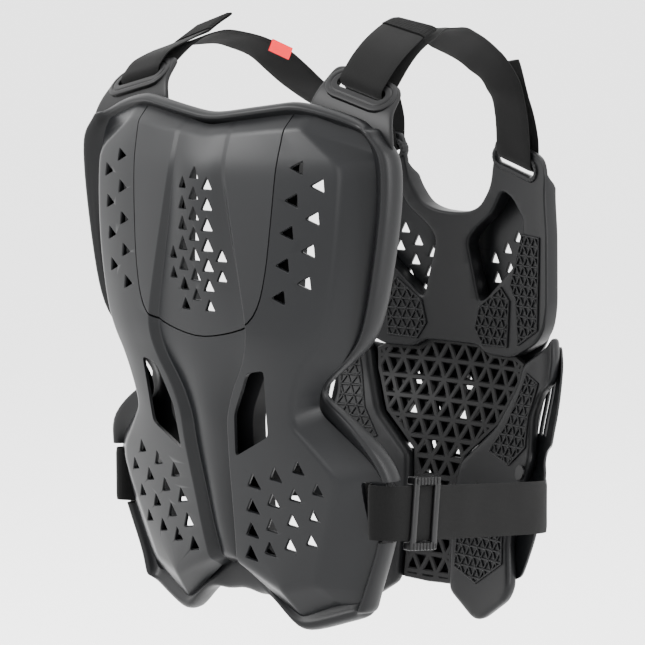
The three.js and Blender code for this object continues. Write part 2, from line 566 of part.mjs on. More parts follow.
const LATTICE_EDGE = [[0, -264], [28, -264.4], [39, -271.2], [70, -271.2], [78.5, -275],
  [76, -290], [60, -323], [26, -352], [22, -380], [24, -455], [0, -456]];
const latticeXs = spread(-84, 84, 6);
const latticeHoles = [];
const ROW_HEIGHT = LATTICE_PITCH * Math.sin(Math.PI / 3);
const holeSize = LATTICE_PITCH - LATTICE_BAR * Math.sqrt(3);
for (let row = 0; row < 10; row++) {
  const z = -283 - row * ROW_HEIGHT;
  const half = row < 2 ? 3 : row < 4 ? 2 : 1;
  for (let n = -half; n <= half; n++) {
    const x = (n + (row % 2 ? 0.5 : 0)) * LATTICE_PITCH;
    if (row % 2 === 0 || n < half) latticeHoles.push(ventAt(VENT_UP, holeSize, x, z));
  }
}
const backLattice = largest(
  backPlate(wholeOutline(LATTICE_EDGE), MESH_SET_BACK, MESH_SET_BACK + MESH_WALL, latticeXs, lowerZs)
    .subtract(joinAll(latticeHoles.map((o) => prism(o, 60, BACK_DEPTH * 2)))));

// Ribbons: a line with a thickness, extruded across the width of the strap
function ribbonOutline(line, wall) {
  const side = (sign) => line.map((p, i) => {
    const before = line[Math.max(0, i - 1)];
    const after = line[Math.min(line.length - 1, i + 1)];
    const run = after.clone().sub(before).normalize();
    return p.clone().add(new THREE.Vector2(-run.y, run.x).multiplyScalar((sign * wall) / 2));
  });
  return [...side(1), ...side(-1).reverse()];
}

function ribbon(line, wall, across) {
  const shape = new THREE.Shape(ribbonOutline(line, wall));
  const geometry = new THREE.ExtrudeGeometry(shape, { depth: across, bevelEnabled: false });
  return geometry.translate(0, 0, -across / 2);
}

function arc(centre, radius, from, to, steps) {
  return Array.from({ length: steps + 1 }, (_, n) => {
    const angle = mix(from, to, n / steps);
    return new THREE.Vector2(centre.x + radius * Math.cos(angle), centre.y + radius * Math.sin(angle));
  });
}

// Shoulder strap: the free end lies over the front slot, the strap turns round the bar there,
// climbs to the crest, falls to the back slot, turns round its bar and ends on its outside.
// along runs from each bar to the crest. left and right say how far each strap has fallen there,
// from the crest down to the bar. The right strap lies lower, as the body under it does.
const STRAP_COLUMNS = ['along', 'left', 'right'];
const FRONT_CLIMB = table(STRAP_COLUMNS, [
  [0.155, 0.86, 0.87], [0.32, 0.50, 0.58], [0.50, 0.24, 0.40], [0.70, 0.08, 0.31], [0.90, 0.0, 0.335],
]);
const FREE_END = table(STRAP_COLUMNS, [
  [0.062, 0.64, 0.66], [0.18, 0.43, 0.56], [0.30, 0.26, 0.47], [0.42, 0.12, 0.385], [0.54, 0.01, 0.30],
]);
const TIP_RUN = table(STRAP_COLUMNS, [[0.55, 0.0, 0.29], [0.66, -0.06, 0.135], [0.77, -0.115, -0.01]]);
const BACK_FALL = table(STRAP_COLUMNS, [
  [0.98, 0.01, 0.135], [0.86, 0.03, 0.19], [0.76, 0.065, 0.25], [0.65, 0.105, 0.368],
  [0.534, 0.145, 0.49], [0.40, 0.205, 0.60], [0.27, 0.29, 0.69], [0.15, 0.38, 0.77],
  [0.06, 0.53, 0.84], [0.015, 0.71, 0.90], [0.0, 0.94, 0.96],
]);
const OUTER_END = table(STRAP_COLUMNS, [
  [-0.078, 0.9, 0.9], [-0.075, 0.80, 0.80], [-0.03, 0.62, 0.62], [0.04, 0.44, 0.52], [0.12, 0.29, 0.44],
]);
// How far each strap falls outward, per millimetre of its width
const STRAP_BANK = table(['y', 'left', 'right'], [
  [-60, SLOT_TILT, SLOT_TILT], [-20, 0.20, 0.33], [13, -0.10, 0.20], [47, -0.36, 0.12],
  [100, -0.32, 0.0], [127, -0.15, 0.10], [139, 0.20, SLOT_TILT],
]);
const frontLoop = new THREE.Vector2(tabBar.y, tabBar.z);
const backLoop = new THREE.Vector2(backSlot.middle.y, backSlot.middle.z + SLOT_HEIGHT / 2);
const crestZ = STRAP_WALL / 2;
const frontTurn = FRONT_TAB_WALL / 2 + BINDING_RISE + STRAP_WALL / 2 + 3 * PIECE_GAP;
const backTurn = (TAB_WALL + STRAP_WALL) / 2 + 4 * PIECE_GAP;
const backInnerY = backLoop.x - backTurn;

const nearFront = (side) => (p) => new THREE.Vector2(
  mix(frontLoop.x, CREST_Y, p.along), mix(crestZ, frontLoop.y, p[side]));
const nearBack = (side) => (p) => new THREE.Vector2(
  mix(backInnerY, CREST_Y, p.along), mix(crestZ, backLoop.y, p[side]));

const turnStart = Math.atan2(tabDirection.y, -tabDirection.z);
const shoulderLine = (side) => [
  ...FREE_END.map(nearFront(side)).reverse(),
  ...arc(frontLoop, frontTurn, turnStart, turnStart + Math.PI, 5),
  ...FRONT_CLIMB.map(nearFront(side)),
  ...BACK_FALL.map(nearBack(side)),
  ...arc(backLoop, backTurn, Math.PI, Math.PI * 2, 5),
  ...OUTER_END.map(nearBack(side)),
];

// Across the shoulder the strap drifts inward, and toward the back it turns with the bend of the back
const strapX = (y) => mix(FRONT_SLOT_X, BACK_SLOT_X,
  smooth(clamp01((y - frontSlotY) / (backLoop.x - frontSlotY))));
const strapYaw = (y) => 2 * BACK_BOW * BACK_SLOT_X * smooth(clamp01((y - CREST_Y) / 100));
function strapBank(y, side) {
  const next = STRAP_BANK.findIndex((p) => p.y > y);
  if (next <= 0) return SLOT_TILT;
  const a = STRAP_BANK[next - 1];
  const b = STRAP_BANK[next];
  return mix(a[side], b[side], smooth((y - a.y) / (b.y - a.y)));
}

function placeStrap(geometry, side) {
  const place = geometry.attributes.position;
  for (let i = 0; i < place.count; i++) {
    const y = place.getX(i);
    const z = place.getY(i) - strapBank(y, side) * place.getZ(i);
    const across = place.getZ(i);
    place.setXYZ(i, strapX(y) + across, y - strapYaw(y) * across, z);
  }
  return fromGeometry(geometry);
}

const strapOf = (side) => placeStrap(ribbon(shoulderLine(side), STRAP_WALL, STRAP_WIDTH), side);
const tipOf = (side) =>
  placeStrap(ribbon(TIP_RUN.map(nearFront(side)), TIP_WALL, STRAP_WIDTH + 1), side);
const shoulderStrapRight = mirrorX(strapOf('right'));

// A small plain tag that hangs from the neck side of the wearer's right strap
const tagY = mix(CREST_Y, backInnerY, TAG_AT);
const tagTop = BACK_FALL.map(nearBack('right')).find((p) => p.x > tagY);
const tagDrift = (strapX(tagY - 1) - strapX(tagY + 1)) / 2;
const tagMiddle = new THREE.Vector3(-(strapX(tagY) - STRAP_WIDTH / 2) + TAG_WALL + PIECE_GAP / 2,
  tagY, tagTop.y + strapBank(tagY, 'right') * STRAP_WIDTH / 2 - TAG_DROP / 2 + 6);
const strapTag = largest(clearOf(
  plate(boxOutline(0, 0, TAG_LENGTH, TAG_DROP), TAG_WALL, tagMiddle,
    new THREE.Vector3(tagDrift, 1, -0.45).normalize(), new THREE.Vector3(1, -tagDrift, 0)),
  shoulderStrapRight));

// Waist strap: out of the slot in the side wall, round the foam rim and on to the back plate.
// out is a share of HALF_WIDTH, along a share of BACK_DEPTH.
const WAIST_LINE = table(['out', 'along'], [
  [0.86, -0.49], [0.882, -0.565], [0.905, -0.607], [0.938, -0.60], [0.972, -0.565],
  [0.995, -0.51], [1.0, -0.43], [0.995, -0.25], [0.975, 0.02], [0.95, 0.33], [0.93, 0.58],
  [0.91, 0.70], [0.875, 0.79], [0.81, 0.855], [0.71, 0.91],
]);
const waistLine = WAIST_LINE.map((p) => new THREE.Vector2(p.out * HALF_WIDTH, p.along * BACK_DEPTH));

function placeWaist(geometry) {
  const place = geometry.attributes.position;
  const start = waistLine[1].y;
  for (let i = 0; i < place.count; i++) {
    const y = place.getY(i);
    const z = place.getZ(i) - WAIST_DROP - WAIST_FALL * (y - start);
    place.setXYZ(i, place.getX(i), y, z);
  }
  return fromGeometry(geometry);
}

const buckleY = BUCKLE_AT * BACK_DEPTH;

const waistBlank = placeWaist(ribbon(waistLine, STRAP_WALL, WAIST_STRAP_WIDTH));
const waistStrap = [backLowerShell, sidePad, frontLiner, frontShell].reduce(
  (rest, neighbour) => largest(clearOf(rest, neighbour)), waistBlank);

// Slide buckle: a frame outside the strap, end blocks past its edges and a bar behind it
function buckle() {
  const at = waistLine.findIndex((p) => p.y > buckleY);
  const before = waistLine[at - 1];
  const after = waistLine[at];
  const t = (buckleY - before.y) / (after.y - before.y);
  const spot = before.clone().lerp(after, t);
  const along = new THREE.Vector3(after.x - before.x, after.y - before.y,
    -WAIST_FALL * (after.y - before.y)).normalize();
  const normal = new THREE.Vector3(after.y - before.y, -(after.x - before.x), 0).normalize();
  const z = -WAIST_DROP - WAIST_FALL * (buckleY - waistLine[1].y);
  const lift = STRAP_WALL / 2 + PIECE_GAP + BUCKLE_WALL / 2;
  const middle = new THREE.Vector3(spot.x, spot.y, z);
  const outside = middle.clone().addScaledVector(normal, lift);
  const inside = middle.clone().addScaledVector(normal, -lift);
  const endHeight = (BUCKLE_HEIGHT - WAIST_STRAP_WIDTH) / 2 - 1;
  const frame = plate(boxOutline(0, 0, BUCKLE_WIDTH, BUCKLE_HEIGHT), BUCKLE_WALL, outside, along, normal)
    .subtract(plate(boxOutline(0, 0, BUCKLE_WIDTH - 2 * BUCKLE_BAR, WAIST_STRAP_WIDTH - 4),
      BUCKLE_WALL * 3, outside, along, normal));
  const depth = 2 * lift + BUCKLE_WALL;
  const ends = [-1, 1].map((side) => plate(
    boxOutline(0, side * (BUCKLE_HEIGHT / 2 - endHeight / 2), BUCKLE_WIDTH, endHeight),
    depth, middle, along, normal));
  const bar = plate(boxOutline(0, 0, BUCKLE_BAR, BUCKLE_HEIGHT - 2), BUCKLE_WALL, inside, along, normal);
  return joinAll([frame, ...ends, bar]);
}
const waistBuckle = buckle();

// Rivets that hold the side pads to the wings
const RIVET = { x: 106, z: -356 };
const RIVET_SIDES = 12;
function rivet() {
  const seat = backSeat(RIVET.x, RIVET.z, -RIVET_RISE / 2 - PIECE_GAP, 0);
  const outline = Array.from({ length: RIVET_SIDES }, (_, n) => {
    const angle = (2 * Math.PI * n) / RIVET_SIDES;
    return [RIVET_RADIUS * Math.cos(angle), RIVET_RADIUS * Math.sin(angle)];
  });
  return clearOf(plate(outline, RIVET_RISE, seat.middle, seat.along, seat.normal), sidePad);
}
const padRivet = rivet();

const finish = (color, roughness) => new THREE.MeshStandardMaterial({ color, roughness, metalness: 0 });
const SHELL = finish(0x2b2c2e, 0.45);
const INSERT = finish(0x38393b, 0.5);
const FOAM = finish(0x2a2b2c, 0.8);
const TAB = finish(0x1d1e1f, 0.7);
const STRAP = finish(0x121213, 0.95);
const RUBBER = finish(0x141415, 0.6);
const NYLON = finish(0x1b1c1d, 0.4);
const TAG = finish(0xb02024, 0.8);

const deflector = new THREE.Group();
function addPiece(name, piece, material) {
  const { vertProperties, triVerts } = piece.getMesh();
  const geometry = new THREE.BufferGeometry();
  geometry.setAttribute('position', new THREE.BufferAttribute(new Float32Array(vertProperties), 3));
  geometry.setIndex(new THREE.BufferAttribute(new Uint32Array(triVerts), 1));
  geometry.computeVertexNormals();
  const mesh = new THREE.Mesh(geometry, material);
  mesh.name = name;
  deflector.add(mesh);
}
function addPair(name, piece, material) {
  addPiece(`${name}_left`, piece, material);
  addPiece(`${name}_right`, mirrorX(piece), material);
}

addPiece('front_shell', frontShell, SHELL);
addPiece('front_insert_panel', insertPanel, INSERT);
addPiece('front_liner', frontLiner, FOAM);
addPair('front_strap_tab', frontTabLeft, TAB);
addPiece('back_upper_liner', backUpperLiner, FOAM);
addPiece('back_upper_shell', backUpperShell, SHELL);
addPiece('back_lower_shell', backLowerShell, SHELL);
addPiece('back_lattice', backLattice, RUBBER);
addPair('back_side_pad', sidePad, FOAM);
addPair('pad_rivet', padRivet, NYLON);
addPiece('shoulder_strap_left', strapOf('left'), STRAP);
addPiece('shoulder_strap_right', shoulderStrapRight, STRAP);
addPiece('strap_tip_left', tipOf('left'), RUBBER);
addPiece('strap_tip_right', mirrorX(tipOf('right')), RUBBER);
addPiece('strap_tag', strapTag, TAG);
addPair('waist_strap', waistStrap, STRAP);
addPair('waist_buckle', waistBuckle, NYLON);

export default deflector;
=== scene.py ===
# %% [markdown]
# # A roost deflector
# A hard chest and back guard that is worn over the shoulders. The CAD part gives every piece its
# place, its size and its collision. This script gives the pieces their looks: smooth moulded
# shells, puffed foam, a real lattice, woven straps. It works in millimetres in the part's own
# frame and turns them into metres when a mesh is made.
# X points to the wearer's left, Y to the wearer's back, Z up, and the origin is between the straps.

# %% Load the frame
import math

import bmesh
import bpy
from mathutils import Matrix, Vector, noise
from mathutils.bvhtree import BVHTree


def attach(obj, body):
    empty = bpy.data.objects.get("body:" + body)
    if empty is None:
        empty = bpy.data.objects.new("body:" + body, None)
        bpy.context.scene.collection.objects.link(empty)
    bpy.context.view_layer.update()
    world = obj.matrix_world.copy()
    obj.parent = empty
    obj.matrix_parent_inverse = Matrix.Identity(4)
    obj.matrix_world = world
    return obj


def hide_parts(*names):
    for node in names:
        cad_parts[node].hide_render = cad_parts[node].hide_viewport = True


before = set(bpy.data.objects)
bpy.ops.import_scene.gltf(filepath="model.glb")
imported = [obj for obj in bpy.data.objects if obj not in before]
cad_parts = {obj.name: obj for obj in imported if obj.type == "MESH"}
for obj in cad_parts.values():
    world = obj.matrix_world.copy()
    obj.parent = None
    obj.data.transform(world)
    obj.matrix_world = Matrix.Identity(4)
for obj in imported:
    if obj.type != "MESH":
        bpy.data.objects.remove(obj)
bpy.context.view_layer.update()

MM = 0.001
print("CAD pieces:", len(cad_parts))

# %% [markdown]
# ## Sizes
# The same named sizes as the CAD part. Shares are of the part's reach, depth and half width, so
# a change of one size carries through every piece.

# %% Sizes
HALF_WIDTH = 150
FRONT_REACH = 460
FRONT_DEPTH = 145
SHELL_WALL = 3
GROOVE_RUN = 5
GROOVE_DEPTH = 10
FACE_CROWN = 2.5
SEAM_GAP = 1.0
CENTRE_VENT = 10
WING_VENT = 12
VENT_PITCH = 15.6
VENT_STEP = 13
PAD_WALL = 14
PAD_TOP_WALL = 5
PAD_STANDOFF = 13
RIM_OUT = 9
RIM_LIP = 10
RIM_BACK = 12
RIM_HANG = 11
RIM_RISE = 8
HEM_DROP = 18
HEM_START = 3
BACK_DEPTH = 152
BACK_BOW = 0.0012
WING_START = 104
WING_CURL = 0.01
BACK_REACH = 480
UPPER_FOAM = 15.5
TAB_WALL = 5
BACK_SHELL_WALL = 3
SPINE_RISE = 9
BACK_VENT = 10
PAD_HEIGHT = 12
MESH_WALL = 4
MESH_SET_BACK = 8
LATTICE_PITCH = 18
LATTICE_BAR = 4.6
PANEL_PITCH = 9.5
PANEL_BAR = 1.7
PIECE_GAP = 0.4
STRAP_WIDTH = 42
STRAP_WALL = 2
FRONT_SLOT_X = 119.5
TAB_BEHIND = 5
SLOT_BEHIND = 12
FRONT_SLOT_DROP = 42.5
BACK_SLOT_X = 76
BACK_SLOT_DROP = 112
CREST_Y = 8
SLOT_LENGTH = 48
SLOT_HEIGHT = 9.5
SLOT_TILT = 0.25
FRONT_TAB_WALL = 4
BINDING = 10
BINDING_RISE = 1.2
TIP_WALL = 3.8
WAIST_STRAP_WIDTH = 42
WAIST_DROP = 360
WAIST_FALL = 0.1
WAIST_SLOT_X = 133
WAIST_SLOT_WIDTH = 6.4
NOTCH_WIDTH = 59
NOTCH_SHIFT = 15.5
BUCKLE_WIDTH = 30
BUCKLE_HEIGHT = 56
BUCKLE_WALL = 3
BUCKLE_BAR = 6
BUCKLE_AT = -0.31
RIB_STEP = 3.8


def table(columns, rows):
    """Rows of a short table as dicts with named columns"""
    return [dict(zip(columns.split(), row)) for row in rows]


FRONT_ROWS = table(
    "c_down c_out r_at r_out groove m_drop e_at e_down e_out f_at f_down f_out rim flare crisp",
    [
        (0.155, 0.855, 0.20, 0.834, 0.00, 0.000, 0.633, 0.124, 0.748, 0.927, 0.161, 0.683, 1.0, 4, 3),
        (0.170, 0.921, 0.20, 0.910, 0.00, 0.000, 0.613, 0.152, 0.834, 0.973, 0.183, 0.676, 1.0, 8, 4),
        (0.222, 0.983, 0.20, 0.962, 0.05, 0.000, 0.867, 0.211, 0.817, 0.993, 0.213, 0.669, 1.0, 8, 10),
        (0.283, 0.993, 0.233, 0.969, 0.30, 0.000, 0.867, 0.278, 0.831, 0.997, 0.280, 0.662, 1.0, 6, 60),
        (0.380, 0.983, 0.293, 0.972, 0.50, 0.000, 0.847, 0.376, 0.838, 0.967, 0.376, 0.662, 1.0, 3, 60),
        (0.478, 0.952, 0.353, 0.969, 0.60, 0.000, 0.790, 0.474, 0.841, 0.913, 0.472, 0.669, 0.9, 3, 40),
        (0.511, 0.941, 0.347, 0.962, 0.65, 0.000, 0.720, 0.513, 0.859, 0.853, 0.517, 0.676, 0.6, 2, 14),
        (0.548, 0.931, 0.307, 0.945, 0.70, 0.000, 0.640, 0.548, 0.872, 0.673, 0.570, 0.717, 0.1, 2, 8),
        (0.593, 0.914, 0.220, 0.928, 0.75, 0.000, 0.587, 0.593, 0.862, 0.620, 0.598, 0.697, 0.0, 0, 20),
        (0.641, 0.897, 0.167, 0.914, 0.80, 0.000, 0.553, 0.641, 0.845, 0.613, 0.624, 0.683, 0.2, 24, 8),
        (0.685, 0.869, 0.160, 0.897, 0.83, 0.000, 0.660, 0.685, 0.790, 0.800, 0.674, 0.631, 0.8, 16, 12),
        (0.730, 0.845, 0.147, 0.872, 0.86, 0.000, 0.780, 0.730, 0.738, 0.947, 0.717, 0.573, 0.8, 2, 12),
        (0.783, 0.817, 0.133, 0.838, 0.90, 0.000, 0.730, 0.783, 0.724, 0.972, 0.754, 0.552, 0.8, 0, 40),
        (0.837, 0.783, 0.120, 0.807, 0.95, 0.000, 0.663, 0.839, 0.707, 0.905, 0.837, 0.524, 0.8, 0, 60),
        (0.887, 0.731, 0.100, 0.772, 1.00, 0.024, 0.573, 0.915, 0.683, 0.803, 0.911, 0.511, 0.8, 0, 6),
        (0.898, 0.655, 0.113, 0.660, 1.00, 0.045, 0.620, 0.957, 0.530, 0.760, 0.945, 0.510, 0.9, 0, 3),
    ],
)
MIDDLE_SHARE = 0.6
BACK_PROFILE = table(
    "down out",
    [(0.146, 0.985), (0.33, 1.0), (0.545, 1.005), (0.603, 0.982), (0.671, 0.92), (0.744, 0.868),
     (0.791, 0.842), (0.866, 0.802), (1.0, 0.765)],
)
print("front rows:", len(FRONT_ROWS))

# %% [markdown]
# ## Finishes
# Everything here is nearly black, so the finishes differ in gloss and grain more than in colour.
# Each is one principled shader with a fine noise bump. A bevel node rounds the shading of cut
# edges, which saves modelling a fillet on every vent and seam.

# %% Finishes
def set_inputs(node, **values):
    """Sets a node's inputs by name, with _ for a blank, and returns the node"""
    for socket, value in values.items():
        node.inputs[socket.replace("_", " ")].default_value = value
    return node


def finish(name, color, roughness, grain, depth, edge=0.0, sheen=0.0, gloss=0.3):
    """A principled material with a noise bump of that grain (per metre) and depth (mm)"""
    material = bpy.data.materials.new(name)
    material.use_nodes = True
    tree = material.node_tree
    add, link = tree.nodes.new, tree.links.new
    shader = set_inputs(tree.nodes["Principled BSDF"], Base_Color=(*color, 1), Roughness=roughness,
                        Specular_IOR_Level=gloss, Sheen_Weight=sheen)
    place = add("ShaderNodeTexCoord")
    speckle = set_inputs(add("ShaderNodeTexNoise"), Scale=grain, Detail=2)
    bump = set_inputs(add("ShaderNodeBump"), Strength=1, Distance=depth * MM)
    link(place.outputs["Object"], speckle.inputs["Vector"])
    link(speckle.outputs["Fac"], bump.inputs["Height"])
    link(bump.outputs["Normal"], shader.inputs["Normal"])
    if edge:
        bevel = set_inputs(add("ShaderNodeBevel"), Radius=edge * MM)
        bevel.samples = 4
        link(bevel.outputs["Normal"], bump.inputs["Normal"])
    return material


def webbing(name, color, across, along, depth, sheen=0.025):
    """Woven tape: crossed waves along its own length and width, under a brushed nap"""
    material = finish(name, color, 0.9, 1800, 0.12, sheen=sheen, gloss=0.06)
    tree = material.node_tree
    link = tree.links.new
    place = tree.nodes["Texture Coordinate"]
    bump = tree.nodes["Bump"]
    height = tree.nodes["Noise Texture"].outputs["Fac"]
    for direction, count in (("X", across), ("Y", along)):
        wave = set_inputs(tree.nodes.new("ShaderNodeTexWave"), Scale=count, Distortion=0.6)
        wave.bands_direction = direction
        add = tree.nodes.new("ShaderNodeMath")
        add.operation = "MULTIPLY_ADD"
        add.inputs[1].default_value = depth
        link(place.outputs["UV"], wave.inputs["Vector"])
        link(wave.outputs["Fac"], add.inputs[0])
        link(height, add.inputs[2])
        height = add.outputs[0]
    link(height, bump.inputs["Height"])
    return material


SHELL = finish("shell", (0.003, 0.0032, 0.0036), 0.34, 1500, 0.02, edge=0.5, gloss=0.13)
INSERT = finish("insert", (0.0045, 0.0047, 0.0051), 0.4, 1500, 0.03, edge=0.5, gloss=0.13)
FOAM = finish("foam", (0.0024, 0.0025, 0.0028), 0.42, 900, 0.04, edge=0.8, gloss=0.12)
TAB = finish("tab", (0.002, 0.002, 0.0022), 0.46, 1200, 0.03, gloss=0.12)
RUBBER = finish("mesh", (0.002, 0.002, 0.0022), 0.46, 900, 0.03, gloss=0.12)
NYLON = finish("nylon", (0.002, 0.002, 0.0022), 0.34, 1200, 0.02, edge=0.4, gloss=0.14)
WEBBING = webbing("webbing", (0.002, 0.002, 0.002), 330, 330, 0.7)
STUDS = webbing("studs", (0.002, 0.002, 0.002), 110, 110, 2.5, sheen=0)
TAG = webbing("tag", (0.50, 0.012, 0.018), 500, 500, 0.5)
print("finishes:", len(bpy.data.materials))

# %% [markdown]
# ## Tools
# A few small tools make every piece: a line with rounded corners, a solid between two sheets of
# points, a loft through rings, a cut, and a node group that sets one piece on many points.

# %% Tools
def mix(a, b, t):
    return a + (b - a) * t


def clamp01(t):
    return min(1.0, max(0.0, t))


def smooth(t):
    return t * t * (3 - 2 * t)


def rounded(line, radii, steps=4, closed=False):
    """The line with each corner turned into a short arc. radii is one size or one per point."""
    line = [Vector(p) for p in line]
    count = len(line)
    sizes = radii if isinstance(radii, (list, tuple)) else [radii] * count
    out = [] if closed else [line[0]]
    span = range(count) if closed else range(1, count - 1)
    for i in span:
        here = line[i]
        before = line[i - 1]
        after = line[(i + 1) % count]
        back, ahead = before - here, after - here
        a = here + back.normalized() * min(sizes[i], back.length * 0.48)
        b = here + ahead.normalized() * min(sizes[i], ahead.length * 0.48)
        for k in range(steps + 1):
            t = k / steps
            out.append(a.lerp(here, t).lerp(here.lerp(b, t), t))
    if not closed:
        out.append(line[-1])
    return out


def add_object(name, data):
    """An object at the origin of the scene"""
    obj = bpy.data.objects.new(name, data)
    bpy.context.scene.collection.objects.link(obj)
    return obj


def shade(obj, angle=38):
    """Smooth shading with sharp edges over that angle, and faces that look outward"""
    work = bmesh.new()
    work.from_mesh(obj.data)
    bmesh.ops.recalc_face_normals(work, faces=work.faces)
    work.to_mesh(obj.data)
    work.free()
    obj.data.shade_smooth()
    obj.data.set_sharp_from_angle(angle=math.radians(angle))
    return obj


def mesh_object(name, points, faces, material, uvs=None, angle=38):
    """A mesh object from points in millimetres"""
    mesh = bpy.data.meshes.new(name)
    mesh.from_pydata([Vector(p) * MM for p in points], [], faces)
    mesh.materials.append(material)
    obj = add_object(name, mesh)
    if uvs:
        layer = mesh.uv_layers.new(name="UVMap")
        for loop in mesh.loops:
            layer.data[loop.index].uv = Vector(uvs[loop.vertex_index]) * MM
    return shade(obj, angle)


def both_sides(half):
    """Half a row from the centre outward, completed by its mirror image"""
    return [Vector((-p.x, p.y, p.z)) for p in reversed(half[1:])] + list(half)


def between_sheets(name, front, back, material, angle=38):
    """A closed solid of quads between two grids of points"""
    rows, cols = len(front), len(front[0])

    def at(side, r, c):
        return (side * rows + r) * cols + c

    faces = []
    for r in range(rows - 1):
        for c in range(cols - 1):
            for side in (0, 1):
                faces.append((at(side, r, c), at(side, r, c + 1), at(side, r + 1, c + 1),
                              at(side, r + 1, c)))
        for c in (0, cols - 1):
            faces.append((at(0, r, c), at(0, r + 1, c), at(1, r + 1, c), at(1, r, c)))
    for c in range(cols - 1):
        for r in (0, rows - 1):
            faces.append((at(0, r, c), at(0, r, c + 1), at(1, r, c + 1), at(1, r, c)))
    points = [p for sheet in (front, back) for row in sheet for p in row]
    return mesh_object(name, points, faces, material, angle=angle)


def loft(name, rings, material, closed=False, uvs=None, angle=38):
    """A closed solid through rings of points, all of one count"""
    count = len(rings[0])
    faces = []
    for r in range(len(rings) if closed else len(rings) - 1):
        s = (r + 1) % len(rings)
        for c in range(count):
            d = (c + 1) % count
            faces.append((r * count + c, r * count + d, s * count + d, s * count + c))
    if not closed:
        faces.append(tuple(range(count)))
        faces.append(tuple(range((len(rings) - 1) * count, len(rings) * count)))
    return mesh_object(name, [p for ring in rings for p in ring], faces, material, uvs, angle)


def plain_mesh(obj):
    """The mesh of a curve or of an object with modifiers"""
    graph = bpy.context.evaluated_depsgraph_get()
    return bpy.data.meshes.new_from_object(obj.evaluated_get(graph), depsgraph=graph)


def bake(obj):
    """Turns the modifiers of obj into plain mesh"""
    mesh = plain_mesh(obj)
    obj.modifiers.clear()
    obj.data = mesh
    mesh.name = obj.name
    return obj


def subdivide(obj, levels=2):
    """Rounds a cage of quads into a smooth body"""
    modifier = obj.modifiers.new("smooth", "SUBSURF")
    modifier.levels = levels
    modifier.render_levels = levels
    return shade(bake(obj), 60)


def cut(obj, cutter, operation="DIFFERENCE", angle=38):
    """Cuts obj with another object, which is used up"""
    modifier = obj.modifiers.new("cut", "BOOLEAN")
    modifier.operation = operation
    modifier.solver = "EXACT"
    modifier.object = cutter
    bake(obj)
    bpy.data.objects.remove(cutter)
    return shade(obj, angle)


def join(name, pieces):
    """One object from several"""
    work = bmesh.new()
    for piece in pieces:
        work.from_mesh(piece.data)
    mesh = bpy.data.meshes.new(name)
    work.to_mesh(mesh)
    work.free()
    for material in pieces[0].data.materials:
        mesh.materials.append(material)
    for piece in pieces:
        bpy.data.objects.remove(piece)
    return add_object(name, mesh)


def mirror(obj, name):
    """The mirror image of obj over the middle of the body"""
    twin = add_object(name, obj.data.copy())
    twin.data.transform(Matrix.Scale(-1, 4, (1, 0, 0)))
    twin.data.flip_normals()
    return twin


def prism(name, outline, near, far, material):
    """A block through the guard from front to back over an outline in X and Z"""
    rings = [[(x, y, z) for x, z in outline] for y in (near, far)]
    return loft(name, rings, material)


def mirrored(outline):
    return [(-x, z) for x, z in reversed(outline)]


def whole(half):
    return list(half) + [p for p in mirrored(half) if p[0] != 0]


def soft_corners(outline, radius, steps=3):
    """An outline in X and Z with rounded corners"""
    turned = rounded([Vector((x, 0, z)) for x, z in outline], radius, steps, closed=True)
    return [(p.x, p.z) for p in turned]


def box_outline(x, z, width, height):
    return [(x - width / 2, z - height / 2), (x + width / 2, z - height / 2),
            (x + width / 2, z + height / 2), (x - width / 2, z + height / 2)]


def slot_outline(x, z, length, height, tilt, steps=5):
    """An oval slot round a point, falling outward by the tilt"""
    radius, out = height / 2, []
    angle = -math.atan(tilt)
    for end in (1, -1):
        for n in range(steps + 1):
            turn = -math.pi / 2 + math.pi * n / steps
            u = end * (length / 2 - radius + radius * math.cos(turn))
            v = end * radius * math.sin(turn)
            out.append((x + u * math.cos(angle) - v * math.sin(angle),
                        z + u * math.sin(angle) + v * math.cos(angle)))
    return out


def place_piece(obj, slot, *replaced):
    """Ties a finished piece to the body and hides the CAD nodes it stands for. The slot is not used."""
    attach(obj, "root")
    if replaced:
        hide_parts(*replaced)
    return obj


def place_pair(left, slot, name):
    """Places a left piece and its mirror image for the CAD nodes of that name, and returns both"""
    right = mirror(left, f"{name}_right")
    return [place_piece(left, slot, f"{name}_left"), place_piece(right, slot, f"{name}_right")]


def repaint(name, material):
    """Gives a CAD node that stays as it is its finish"""
    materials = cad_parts[name].data.materials
    materials.clear()
    materials.append(material)


